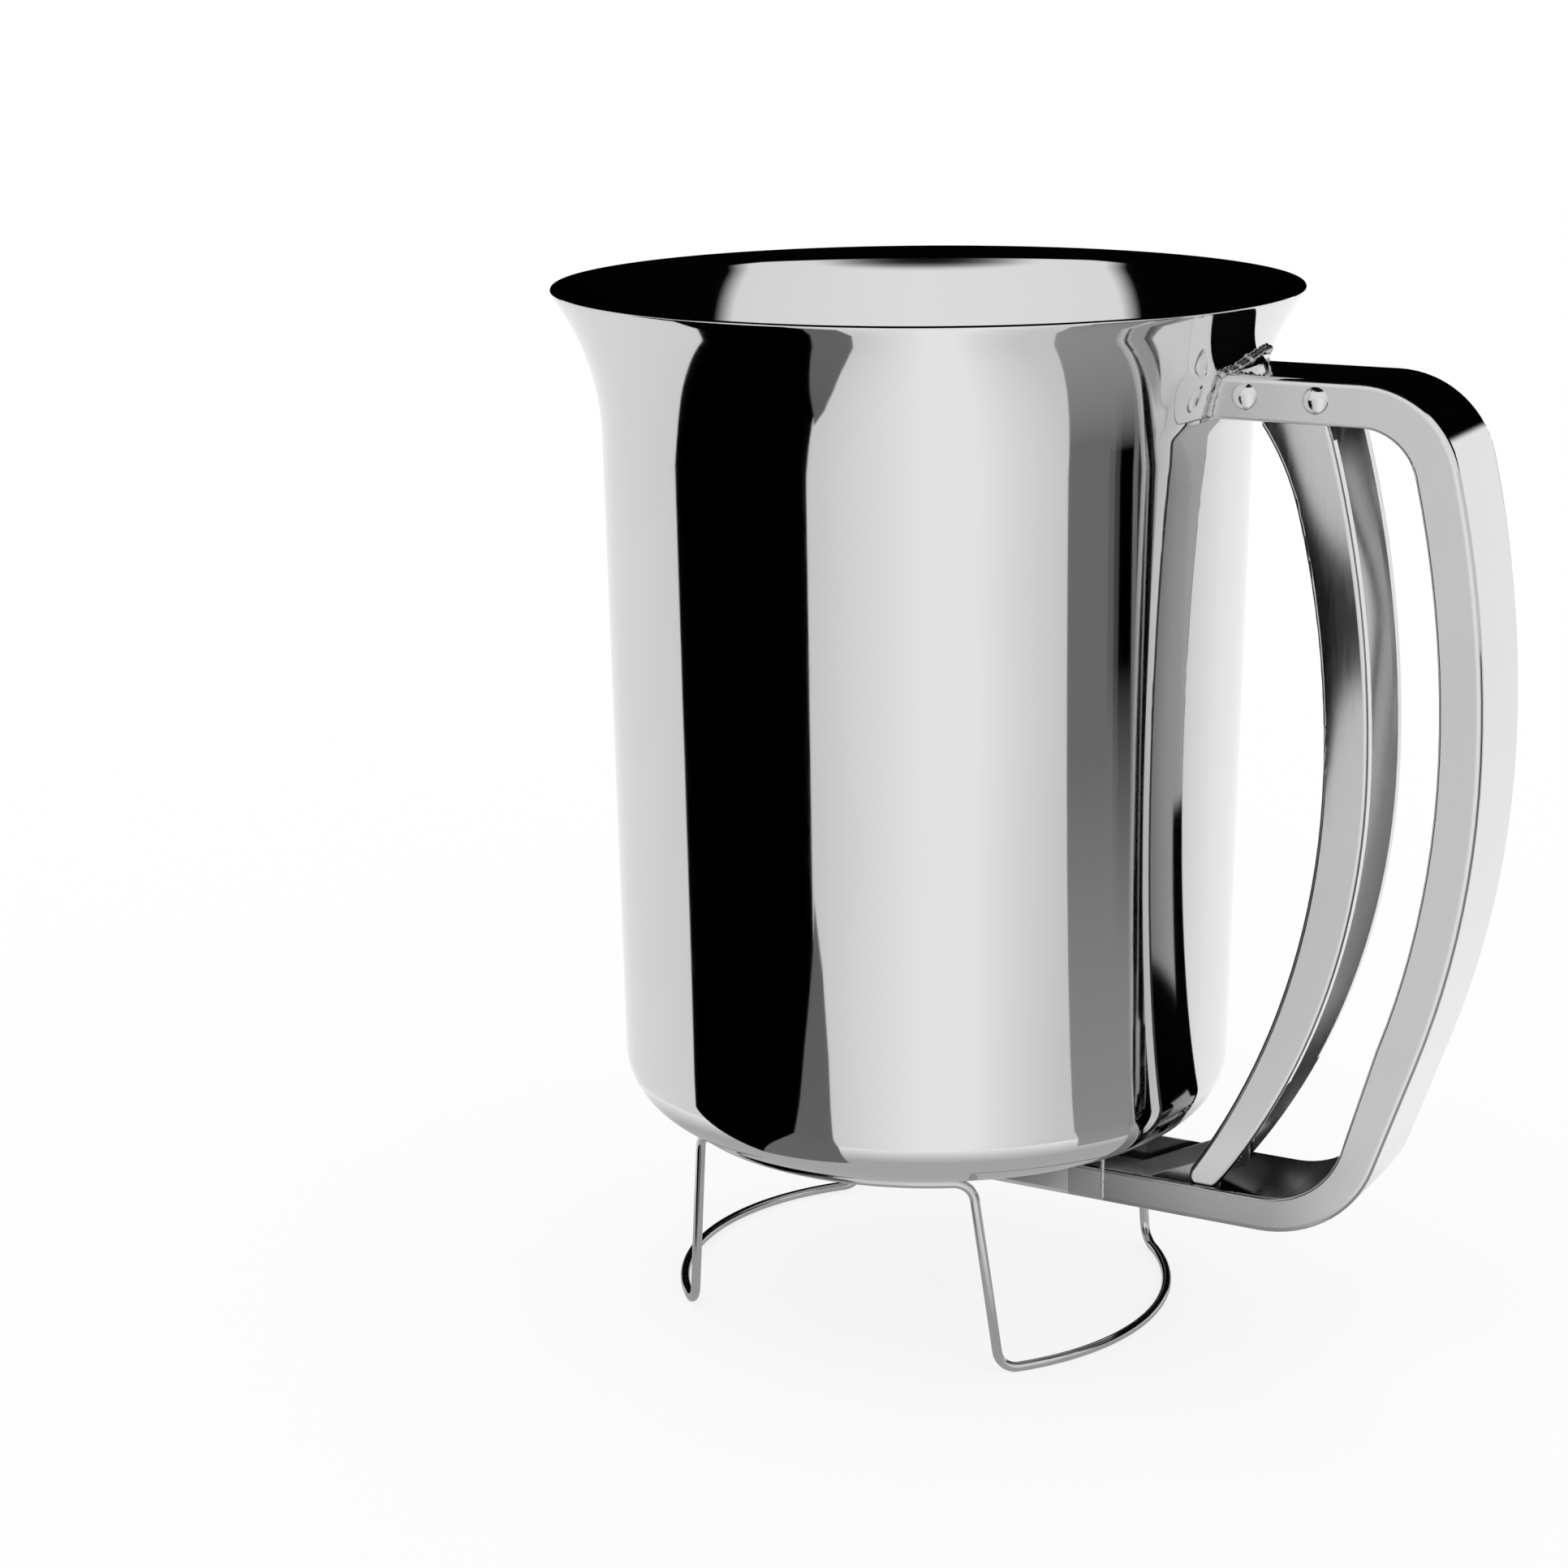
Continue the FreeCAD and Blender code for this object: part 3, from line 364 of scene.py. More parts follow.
def bow_flanks(material):
    """Tilt towards -X: hollow bell(z) plus roll exp(-u), u the distance from the web's curve."""
    tree = material.node_tree
    x, _, z = place(tree)
    hollow = bell(tree, z, HOLLOW_HEIGHT, HOLLOW_SPREAD)
    rise = add(tree, "ShaderNodeMath", {"operation": "SUBTRACT"}, i0=z,
               i1=WEB_APEX[1] * MM).outputs[0]
    square = add(tree, "ShaderNodeMath", TIMES, i0=rise, i1=rise).outputs[0]
    behind = add(tree, "ShaderNodeMath", {"operation": "MULTIPLY_ADD"}, i0=square,
                 i1=1 / (2 * WEB_RADIUS * MM), i2=x).outputs[0]
    width = add(tree, "ShaderNodeMapRange", OPEN_ENDED, Value=behind,
                From_Min=WEB_APEX[0] * MM, From_Max=(WEB_APEX[0] + ROLL_WIDTH) * MM).outputs[0]
    near = add(tree, "ShaderNodeMath", {"operation": "MAXIMUM"}, i0=width, i1=0.0).outputs[0]
    fall = add(tree, "ShaderNodeMath", {"operation": "POWER"}, i0=1 / math.e, i1=near).outputs[0]
    upper = add(tree, "ShaderNodeMapRange", SMOOTH, Value=z, From_Min=ROLL_RANGE[0] * MM,
                From_Max=ROLL_RANGE[1] * MM).outputs[0]
    roll = add(tree, "ShaderNodeMath", TIMES, i0=fall, i1=upper).outputs[0]
    deep = add(tree, "ShaderNodeMath", TIMES, i0=hollow,
               i1=-math.tan(math.radians(HOLLOW_DEGREES))).outputs[0]
    tilt = add(tree, "ShaderNodeMath", {"operation": "MULTIPLY_ADD"}, i0=roll,
               i1=-math.tan(math.radians(ROLL_DEGREES)), i2=deep).outputs[0]
    push_normal(material, (tilt, 0.0, 0.0))


bow_flanks(bright_steel)
print("the trigger's flanks bow by", HOLLOW_DEGREES, "degrees at", HOLLOW_HEIGHT, "mm")

# %% [markdown]
# Every solid from the CAD model gets its finish. The vessel's own mesh gives way to the finer
# one below.

# %% Finishes for the solids
finishes = {
    "vessel": mirror_steel,
    "outlet_collar": mill_steel,
    "handle": satin_steel,
    "arm_bracket": mill_steel,
    "bracket_rivet": rivet_steel,
    "pivot_rivet": rivet_steel,
    "return_spring": spring_steel,
    "trigger": bright_steel,
    "gate_pin": rivet_steel,
    "slide_gate": mill_steel,
    "wire_stand": wire_steel,
}
for name, material in finishes.items():
    mesh = nodes[name].data
    mesh.materials.clear()
    mesh.materials.append(material)
print("finishes given to", len(finishes), "nodes")

# %% [markdown]
# A mirror shows every facet, and the CAD mesh has just enough of them for its tolerance. So the
# vessel is drawn again as a lathe surface: one closed outline of the sheet, turned round the
# axis. The outline has the same driving sizes as the solid, and its height and its axis come
# from the solid's box.

# %% Vessel sizes
SHEET = 0.8
OUTLET_RADIUS = 7.0
BASE_WALL_RADIUS = 50.85
WALL_TAPER = math.radians(0.92)
BASE_CORNER_RADIUS = 9.7
RIM_RADIUS = 60.4
FLARE_LEAN = math.radians(32.0)
FLARE_BEND_RADIUS = 40.0

vessel_low, vessel_high = (np.array(corner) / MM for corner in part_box("vessel"))
BASE_Z = vessel_low[2]
CREST_ABOVE_RIM = SHEET / 2 * (math.sin(FLARE_LEAN) + 1)
RIM_Z = vessel_high[2] - CREST_ABOVE_RIM
AXIS_X = (vessel_low[0] + vessel_high[0]) / 2
print("base at", round(BASE_Z, 2), "rim at", round(RIM_Z, 2), "axis at", round(AXIS_X, 2), "mm")

# %% [markdown]
# Sheet doesn't take a sharp corner: the tool that draws it is rounded, and the metal follows
# in an arc. So an outline is made of straight stretches and of arcs that round its corners.

# %% Arcs and straight stretches
def unit(v):
    """A vector divided by its length."""
    return v / np.linalg.norm(v)


def fillet(before, corner, after, radius, steps):
    """Arc that rounds a corner: spokes mixed by sin((1 - t) w) and sin(t w), w the arc's angle."""
    a = unit(before - corner)
    b = unit(after - corner)
    half = np.arccos(a @ b) / 2
    centre = corner + unit(a + b) * radius / np.sin(half)
    first = corner + a * radius / np.tan(half) - centre
    last = corner + b * radius / np.tan(half) - centre
    w = np.pi - 2 * half
    t = np.linspace(0, 1, steps)[:, None]
    return centre + (np.sin((1 - t) * w) * first + np.sin(t * w) * last) / np.sin(w)


def between(start, end, steps):
    """Points strictly between two ends, start + t (end - start)."""
    t = np.linspace(0, 1, steps + 2)[1:-1, None]
    return start + t * (end - start)


print("the base corner is rounded by", BASE_CORNER_RADIUS, "the flare by", FLARE_BEND_RADIUS)

# %% [markdown]
# The sheet's outside goes from the outlet over the flat base, round the corner, up the wall
# and round the bend to the rim. The inside is the same line moved in by the sheet's thickness,
# and a half circle closes the edge between them, as the trimming wheel leaves it.

# %% Outline of the sheet
FLOOR_STEPS = 6
CORNER_STEPS = 28
WALL_STEPS = 20
BEND_STEPS = 36
FLARE_STEPS = 2
EDGE_STEPS = 10


def cup_line(offset):
    """Outline (radius, height) moved inwards by offset: base, corner, wall, bend, flare."""
    floor = BASE_Z + offset
    foot = BASE_WALL_RADIUS - offset / math.cos(WALL_TAPER)
    rim = np.array([RIM_RADIUS - offset * math.cos(FLARE_LEAN),
                    RIM_Z + offset * math.sin(FLARE_LEAN)])
    steep = math.tan(WALL_TAPER)
    wide = math.tan(FLARE_LEAN)
    neck_z = (rim[0] - rim[1] * wide - foot + BASE_Z * steep) / (steep - wide)
    neck = np.array([foot + (neck_z - BASE_Z) * steep, neck_z])
    corner = np.array([foot + offset * steep, floor])
    start = np.array([OUTLET_RADIUS, floor])
    low = fillet(start, corner, neck, BASE_CORNER_RADIUS - offset, CORNER_STEPS)
    high = fillet(corner, neck, rim, FLARE_BEND_RADIUS + offset, BEND_STEPS)
    parts = [start[None], between(start, low[0], FLOOR_STEPS), low,
             between(low[-1], high[0], WALL_STEPS), high,
             between(high[-1], rim, FLARE_STEPS), rim[None]]
    return np.concatenate(parts)


outer_line = cup_line(0.0)
inner_line = cup_line(SHEET)
wall_line = outer_line[1 + FLOOR_STEPS + CORNER_STEPS:]
lean_up = np.array([math.sin(FLARE_LEAN), math.cos(FLARE_LEAN)])
crest = (outer_line[-1] + inner_line[-1]) / 2
turn = np.linspace(0, math.pi, EDGE_STEPS)[1:-1, None]
rim_arc = crest + np.cos(turn) * (outer_line[-1] - crest) + np.sin(turn) * lean_up * SHEET / 2
sheet_line = np.concatenate([outer_line, rim_arc, inner_line[::-1]])
print("outline of the sheet:", len(sheet_line), "points")

# %% [markdown]
# One function turns a grid of points into a smooth mesh, and can join the grid's last row or
# column to its first. Every new piece here is such a grid. A closed grid whose faces point
# inwards has a negative volume, so the sign of the volume says when to turn them round.

# %% From a grid of points to a mesh
SHARP = math.radians(40)


def grid_piece(name, points, wrap_rows, material, body):
    """Mesh from points (rows, columns, xyz) in mm, columns closed; open row ends get a cap."""
    rows, columns, _ = points.shape
    index = np.arange(rows * columns).reshape(rows, columns)
    if wrap_rows:
        index = np.vstack([index, index[:1]])
    index = np.hstack([index, index[:, :1]])
    corners = [index[:-1, :-1], index[1:, :-1], index[1:, 1:], index[:-1, 1:]]
    quads = np.stack(corners, axis=-1).reshape(-1, 4)
    flat = points.reshape(-1, 3)
    a, b, c, d = (flat[quads[:, i]] for i in range(4))
    volume = np.sum(np.cross(b - a, c - a) * a) + np.sum(np.cross(c - a, d - a) * a)
    faces = (quads if volume > 0 else quads[:, ::-1]).tolist()
    if not wrap_rows:
        first = index[0, :-1].tolist()
        last = index[-1, :-1].tolist()
        faces.append(first[::-1] if volume < 0 else first)
        faces.append(last if volume < 0 else last[::-1])
    mesh = bpy.data.meshes.new(name)
    mesh.from_pydata((flat * MM).tolist(), [], faces)
    mesh.shade_smooth()
    mesh.set_sharp_from_angle(angle=SHARP)
    mesh.materials.append(material)
    piece = bpy.data.objects.new(name, mesh)
    bpy.context.scene.collection.objects.link(piece)
    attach(piece, body)
    print(name, len(flat), "points,", "faces turned round" if volume <= 0 else "faces outwards")
    return piece


# %% [markdown]
# The vessel is spun from sheet on the real line too, or drawn and then trimmed, so a lathe
# surface has the same symmetry as the real one, and its reflections stay straight.

# %% Vessel
TURN_STEPS = 384


def turned(line, steps):
    """Surface of revolution: (r, z) at angle p becomes (axis + r cos p, r sin p, z)."""
    p = np.linspace(0, 2 * np.pi, steps, endpoint=False)[None, :]
    radius = line[:, 0:1]
    height = np.repeat(line[:, 1:2], steps, axis=1)
    return np.stack([AXIS_X + radius * np.cos(p), radius * np.sin(p), height], axis=-1)


def make_vessel():
    """The drawn cup in one closed sheet, with the outlet hole left open in its base."""
    grid = turned(sheet_line, TURN_STEPS)
    piece = grid_piece("vessel_sheet", grid, True, mirror_steel, "dispenser")
    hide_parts("vessel")


make_vessel()

# %% [markdown]
# Where the arm is welded on, the heat has drawn the thin wall in beside it. The dent is a
# fraction of a millimetre deep, but it turns the mirror upright there, so the wall shows the
# arm's flank and rivet again. Like the bow in the trigger it is a tilt of the normal, faded in
# over the height of the arm and out again to its sides and away from it round the cup.

# %% Dent beside the weld
DENT_BOTTOM = (151.5, 154.6)
DENT_TOP = (160.0, 163.2)
DENT_SIDES = (16.0, 22.0)
DENT_FRONT = (20.0, 26.0)
BEND_START_Z = 148.3
DENT_LEAN = 0.15


def dent_by_weld(material):
    """Raise the normal by the wall's own lean, (z - bend start) / bend radius, and a bit more."""
    tree = material.node_tree
    x, y, z = place(tree)
    aside = add(tree, "ShaderNodeMath", {"operation": "ABSOLUTE"}, i0=y).outputs[0]
    weight = add(tree, "ShaderNodeMapRange", OPEN_ENDED, Value=z, From_Min=BEND_START_Z * MM,
                 From_Max=(BEND_START_Z + FLARE_BEND_RADIUS) * MM, To_Min=DENT_LEAN,
                 To_Max=1.0 + DENT_LEAN).outputs[0]
    for value, (start, end), before, after in (
            (z, DENT_BOTTOM, 0.0, 1.0), (z, DENT_TOP, 1.0, 0.0),
            (aside, DENT_SIDES, 1.0, 0.0), (x, DENT_FRONT, 0.0, 1.0)):
        fade = add(tree, "ShaderNodeMapRange", SMOOTH, Value=value, From_Min=start * MM,
                   From_Max=end * MM, To_Min=before, To_Max=after).outputs[0]
        weight = add(tree, "ShaderNodeMath", TIMES, i0=weight, i1=fade).outputs[0]
    push_normal(material, (0.0, 0.0, weight))


dent_by_weld(mirror_steel)
print("dent beside the weld up to", DENT_SIDES[1], "mm from the arm's middle")

# %% [markdown]
# The trimmed edge of the flare is rolled out a little further by the trimming wheel. Seen from
# inside, that last millimetre mirrors the dark ceiling and draws a black line round the mouth.
# It is again a tilt, and only for the inner face, whose normal points up.

# %% Rolled edge inside the mouth
ROLL_START = 1.5
ROLL_END = 1.0
ROLL_TILT = 0.25
INNER_FACE_UP = 0.2


def roll_rim(material):
    """Push the normal up by ROLL_TILT over the last millimetre of the flare's inner face."""
    tree = material.node_tree
    _, _, z = place(tree)
    normal = add(tree, "ShaderNodeTexCoord").outputs["Normal"]
    _, _, up = add(tree, "ShaderNodeSeparateXYZ", Vector=normal).outputs
    inner = add(tree, "ShaderNodeMath", {"operation": "GREATER_THAN"}, i0=up,
                i1=INNER_FACE_UP).outputs[0]
    near_edge = add(tree, "ShaderNodeMapRange", SMOOTH, Value=z,
                    From_Min=(RIM_Z - ROLL_START) * MM,
                    From_Max=(RIM_Z - ROLL_END) * MM).outputs[0]
    share = add(tree, "ShaderNodeMath", TIMES, i0=inner, i1=near_edge).outputs[0]
    amount = add(tree, "ShaderNodeMath", TIMES, i0=share, i1=ROLL_TILT).outputs[0]
    push_normal(material, (0.0, 0.0, amount))


roll_rim(mirror_steel)
print("the mouth's edge is rolled out over", ROLL_START, "mm")

# %% [markdown]
# The handle is welded on by hand, and a bead of weld swells and shrinks along its path, as the
# hand stops and goes. So a bead is a tube whose radius follows the sum of three sine waves,
# rounded off at both ends.

# %% A bead of weld
BEAD_STEP = 0.18
BEAD_SIDES = 12
SWELL_WAVES = (2.1, 3.7, 0.9)
BEAD_END = 0.05
OFF_PATH = (0.34, 0.12, 0.93)


def tube(path, radius, lump):
    """Tube of radius r (1 + lump (sin 2.1 s + sin 3.7 s + sin 0.9 s) / 3), s the length in mm."""
    tangent = np.gradient(path, axis=0)
    tangent /= np.linalg.norm(tangent, axis=1)[:, None]
    sideways = np.cross(tangent, OFF_PATH)
    sideways /= np.linalg.norm(sideways, axis=1)[:, None]
    across = np.cross(tangent, sideways)
    step = np.linalg.norm(np.diff(path, axis=0), axis=1)
    s = np.concatenate([[0], np.cumsum(step)])
    swell = 1 + lump * sum(np.sin(wave * s) for wave in SWELL_WAVES) / len(SWELL_WAVES)
    ends = np.clip(np.minimum(s, s[-1] - s) / radius, BEAD_END, 1) ** 0.5
    r = (radius * swell * ends)[:, None, None]
    v = np.linspace(0, 2 * np.pi, BEAD_SIDES, endpoint=False)[None, :, None]
    ring = np.cos(v) * sideways[:, None, :] + np.sin(v) * across[:, None, :]
    return path[:, None, :] + r * ring


def even_path(points, step):
    """The same polyline with points at even steps of its length."""
    length = np.concatenate([[0], np.cumsum(np.linalg.norm(np.diff(points, axis=0), axis=1))])
    s = np.linspace(0, length[-1], int(length[-1] / step) + 1)
    return np.stack([np.interp(s, length, points[:, i]) for i in range(3)], axis=-1)


print("a bead has a ring of", BEAD_SIDES, "points every", BEAD_STEP, "mm")

# %% [markdown]
# At the top, a tongue of the arm's web is bent up along the flare. It is low at the near corner
# and rises towards the far one, where it is rounded off.

# %% Tongue of the top arm
handle_low, handle_high = (np.array(corner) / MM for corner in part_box("handle"))
ARM_TOP_Z = handle_high[2]
TAB_RISE = 1.9
TAB_SIDES = (-9.0, 9.3)
TAB_SLOPE = (-8.5, 13.5)
TAB_END = (9.4, 1.6)
TAB_ROOT = 0.5
TAB_OUTSIDE = 0.62
TAB_INSIDE = 0.06
TAB_COLUMNS = 60
TAB_ROWS = 7


def wall_point(y, z, gap):
    """Points gap millimetres off the vessel's outside, at the given Y and height, +X side."""
    radius = np.interp(z, wall_line[:, 1], wall_line[:, 0]) + gap
    return np.stack([AXIS_X + np.sqrt(radius ** 2 - y ** 2), y, z], axis=-1)


def tab_height(y):
    """Height of the tongue above the arm: a smooth step from its near corner, rounded far."""
    t = np.clip((y - TAB_SLOPE[0]) / TAB_SLOPE[1], 0, 1)
    round_end = np.sqrt(np.clip((TAB_END[0] - y) / TAB_END[1], 0, 1))
    return TAB_RISE * t * t * (3 - 2 * t) * round_end


def arm_tab():
    """Tongue pressed on the flare: its outside from root to edge, its inside back down."""
    y = np.linspace(*TAB_SIDES, TAB_COLUMNS)[:, None]
    share = np.linspace(0, 1, TAB_ROWS)
    faces = []
    for gap, steps in ((TAB_OUTSIDE, share), (TAB_INSIDE, share[::-1])):
        z = ARM_TOP_Z - TAB_ROOT + (tab_height(y) + TAB_ROOT) * steps
        faces.append(wall_point(np.repeat(y, TAB_ROWS, axis=1), z, gap))
    return np.concatenate(faces, axis=1)


grid_piece("arm_tab", arm_tab(), False, satin_steel, "dispenser")

# %% [markdown]
# A lumpy bead joins the arm to the cup. It runs up one flank of the arm, along the tongue's
# edge and down the other flank.

# %% Bead of the top arm
ARM_HALF = handle_high[1]
ARM_DEPTH = 6.8
ARM_BEAD_RADIUS = 0.5
ARM_BEAD_LUMP = 0.55
ARM_BEAD_OFF_WALL = 0.35
ARM_BEAD_CORNERS = (0.7, 0.4)
ARM_BEAD_OVER_TAB = 0.1
FLANK_POINTS = 14


def arm_bead():
    """Bead up the near flank, along the tongue's upper edge and down the far flank."""
    near_corner, far_corner = ARM_BEAD_CORNERS
    y_up = np.full(FLANK_POINTS, -ARM_HALF)
    z_up = np.linspace(ARM_TOP_Z - ARM_DEPTH, ARM_TOP_Z - far_corner, FLANK_POINTS)
    y_top = np.linspace(-ARM_HALF + near_corner, ARM_HALF - far_corner, TAB_COLUMNS)
    z_top = ARM_TOP_Z + ARM_BEAD_OVER_TAB + tab_height(y_top)
    y = np.concatenate([y_up, y_top, -y_up])
    z = np.concatenate([z_up, z_top, z_up[::-1]])
    path = even_path(wall_point(y, z, ARM_BEAD_OFF_WALL), BEAD_STEP)
    return tube(path, ARM_BEAD_RADIUS, ARM_BEAD_LUMP)


grid_piece("arm_weld", arm_bead(), False, weld_steel, "dispenser")

# %% [markdown]
# Below, the seat's cheek is butted against the lower arm's flank with an upright seam, and two
# beads lie along the seat, where its flanges meet the flat base.

# %% Seam and beads under the base
SEAM_RADIUS = 0.4
SEAM_LUMP = 0.2
SEAM_ABOVE_WEB = 0.6
SEAM_UNDER_BASE = 0.8
SEAT_BEAD_RADIUS = 0.45
SEAT_BEAD_LUMP = 0.4
SEAT_BEAD_OFF_FLANK = 0.15
SEAT_BEAD_UNDER_BASE = 0.2
SEAT_START = 0.5
SEAT_LENGTH = 26.0


def arm_seam():
    """Upright butt seam on the near flank, where the seat's cheek meets the lower arm's."""
    ends = np.array([[SEAM_X, -ARM_HALF, handle_low[2] + SEAM_ABOVE_WEB],
                     [SEAM_X, -ARM_HALF, BASE_Z - SEAM_UNDER_BASE]])
    return tube(even_path(ends, BEAD_STEP), SEAM_RADIUS, SEAM_LUMP)


def seat_bead(side):
    """Bead along the outside of one seat flange, where it meets the flat base."""
    y = side * (ARM_HALF + SEAT_BEAD_OFF_FLANK)
    z = BASE_Z - SEAT_BEAD_UNDER_BASE
    ends = np.array([[AXIS_X + SEAT_START, y, z], [AXIS_X + SEAT_LENGTH, y, z]])
    return tube(even_path(ends, BEAD_STEP), SEAT_BEAD_RADIUS, SEAT_BEAD_LUMP)


grid_piece("arm_seam", arm_seam(), False, weld_steel, "dispenser")
for side, word in ((-1, "near"), (1, "far")):
    grid_piece("seat_weld_" + word, seat_bead(side), False, weld_steel, "dispenser")

# %% [markdown]
# The room. A polished cup is a mirror that looks almost all the way round, so the bands on it are
# the studio: white walls, a black card on the left, and grey and black sheets on the table, some
# of them painted shadows. The walls are drawn once, on the sky, by compass direction: BANDS up to
# the horizon, HIGH_BANDS above it, and BACK_WALL for the stretch behind the object, where the
# wall's pale part ends lower.

# %% Greys of the studio's walls
BANDS = [
    (-180, 0.80), (-160, 0.76), (-104, 0.72), (-82, 0.87), (-64, 0.98), (-46, 0.98),
    (-30, 0.83), (-12, 0.70), (18, 0.66), (30, 0.62), (48, 0.82), (66, 0.96), (110, 1.00),
    (150, 0.83), (180, 0.80),
]
HIGH_BANDS = [
    (-180, 0.0), (-150, 0.0), (-142, 0.86), (-60, 0.92), (14, 0.84), (22, 0.0), (180, 0.0),
]
BACK_WALL = [(-180, 0.0), (76, 0.0), (81, 1.0), (150, 1.0), (156, 0.0), (180, 0.0)]


def band_ramp(tree, turn, bands):
    """Grey values by compass direction, as a colour ramp over one full turn."""
    ramp = add(tree, "ShaderNodeValToRGB", Fac=turn)
    stops = ramp.color_ramp.elements
    for i, (degrees, grey) in enumerate(bands):
        position = (degrees + 180) / 360
        stop = stops[i] if i < 2 else stops.new(position)
        stop.position = position
        stop.color = (grey, grey, grey, 1.0)
    return ramp.outputs[0]


print("studio walls in", len(BANDS), "low and", len(HIGH_BANDS), "high bands")

# %% [markdown]
# The sky has three jobs. Glossy rays see the walls and a black ceiling overhead, the camera
# sees plain white behind the object, and all other light is an even white.

# %% Sky
WHITE = (1.0, 1.0, 1.0, 1.0)
BLACK = (0.0, 0.0, 0.0, 1.0)
HORIZON = (0.16, 0.20)
CEILING = (0.80, 0.85)
BACK_WALL_DROP = 0.30


def studio_world():
    """Sky: bands for glossy rays, white for the camera, even white for all other light."""
    world = bpy.data.worlds.new("studio")
    bpy.context.scene.world = world
    world.use_nodes = True
    tree = world.node_tree
    tree.nodes.clear()
    direction = add(tree, "ShaderNodeTexCoord").outputs["Generated"]
    x, y, z = add(tree, "ShaderNodeSeparateXYZ", Vector=direction).outputs
    angle = add(tree, "ShaderNodeMath", {"operation": "ARCTAN2"}, i0=y, i1=x)
    turn = add(tree, "ShaderNodeMapRange", Value=angle.outputs[0], From_Min=-math.pi,
               From_Max=math.pi).outputs[0]
    behind = add(tree, "ShaderNodeSeparateColor", i0=band_ramp(tree, turn, BACK_WALL)).outputs[0]
    height = add(tree, "ShaderNodeMath", {"operation": "MULTIPLY_ADD"}, i0=behind,
                 i1=BACK_WALL_DROP, i2=z).outputs[0]
    above = add(tree, "ShaderNodeMapRange", SMOOTH, Value=height, From_Min=HORIZON[0],
                From_Max=HORIZON[1]).outputs[0]
    low = band_ramp(tree, turn, BANDS)
    high = band_ramp(tree, turn, HIGH_BANDS)
    walls = add(tree, "ShaderNodeMix", {"data_type": "RGBA"}, Factor=above, i6=low, i7=high)
    overhead = add(tree, "ShaderNodeMapRange", SMOOTH, Value=z, From_Min=CEILING[0],
                   From_Max=CEILING[1]).outputs[0]
    room = add(tree, "ShaderNodeMix", {"data_type": "RGBA"}, Factor=overhead,
               i6=walls.outputs[2], i7=BLACK)
    glossy = add(tree, "ShaderNodeLightPath").outputs["Is Glossy Ray"]
    seen = add(tree, "ShaderNodeMix", {"data_type": "RGBA"}, Factor=glossy, i6=WHITE,
               i7=room.outputs[2])
    light = add(tree, "ShaderNodeBackground", Color=seen.outputs[2], Strength=1.0)
    output = add(tree, "ShaderNodeOutputWorld")
    tree.links.new(light.outputs[0], output.inputs[0])


studio_world()
print("the ceiling starts at", round(math.degrees(math.asin(CEILING[0]))), "degrees up")

# %% [markdown]
# The cards. The cup leans its mirror down, so most of what it shows lies on the table. They are
# flat sheets in fixed places, so each part of the object mirrors them from where it is, and only
# mirrors see them. One stands for a real card; the others lie on the table, and some of them are
# painted shadows there. One function makes any of them: it glows with a grey that goes from one
# value to another between two distances from a centre, as the light falls off on paper.

# %% One function for every card
def card(name, corners, greys, radii=(0, 1), centre=(AXIS_X, 0.0)):
    """A flat card, its grey going from one value to another between two distances in mm."""
    mesh = bpy.data.meshes.new(name)
    points = np.array(corners, float) * MM
    mesh.from_pydata(points.tolist(), [], [tuple(range(len(corners)))])
    paper = bpy.data.materials.new(name + "_paper")
    paper.use_nodes = True
    tree = paper.node_tree
    tree.nodes.clear()
    coords = add(tree, "ShaderNodeTexCoord").outputs["Object"]
    flat = add(tree, "ShaderNodeVectorMath", {"operation": "MULTIPLY"}, i0=coords,
               i1=(1.0, 1.0, 0.0)).outputs[0]
    away = add(tree, "ShaderNodeVectorMath", {"operation": "DISTANCE"}, i0=flat,
               i1=(centre[0] * MM, centre[1] * MM, 0.0)).outputs["Value"]
    grey = add(tree, "ShaderNodeMapRange", Value=away, From_Min=radii[0] * MM,
               From_Max=radii[1] * MM, To_Min=greys[0], To_Max=greys[1]).outputs[0]
    glow = add(tree, "ShaderNodeEmission", Color=grey, Strength=1.0)
    output = add(tree, "ShaderNodeOutputMaterial")
    tree.links.new(glow.outputs[0], output.inputs[0])
    mesh.materials.append(paper)
    piece = bpy.data.objects.new(name, mesh)
    bpy.context.scene.collection.objects.link(piece)
    piece.visible_camera = False
    piece.visible_diffuse = False
    piece.visible_transmission = False
    piece.visible_shadow = False
    print(name, "has", len(corners), "corners")


# %% [markdown]
# A black sheet lies to the left as painted shade, where the standing card darkens the table, with
# the card itself standing at its far end, and a grey strip beside it is a painted shadow on the
# table.

# %% Cards on the left, with painted shade
TABLE_Z = -2.0
# Corners of the black sheet of painted shade, where the standing card darkens the table.
CARD_SHADE_SHEET = [(-48, -50), (-236, -116), (-70, -263), (-66, -200), (-58, -140), (-52, -95)]
STANDING_CARD_TOP = 150.0
# The grey strip beside it is a painted shadow on the table.
SHADOW_STRIP = [(-48, -50), (-52, -95), (-58, -140), (-66, -200), (-70, -263), (-76, -296),
              (-52, -250), (-36, -200), (-25, -150), (-18, -100), (-16, -60)]
SHADOW_STRIP_GREYS = (0.16, 0.13)
SHADOW_STRIP_RADII = (90, 260)


def on_table(points, lift=0.0):
    """Corners lying on the table, or lift millimetres over it."""
    return [(x, y, TABLE_Z + lift) for x, y in points]


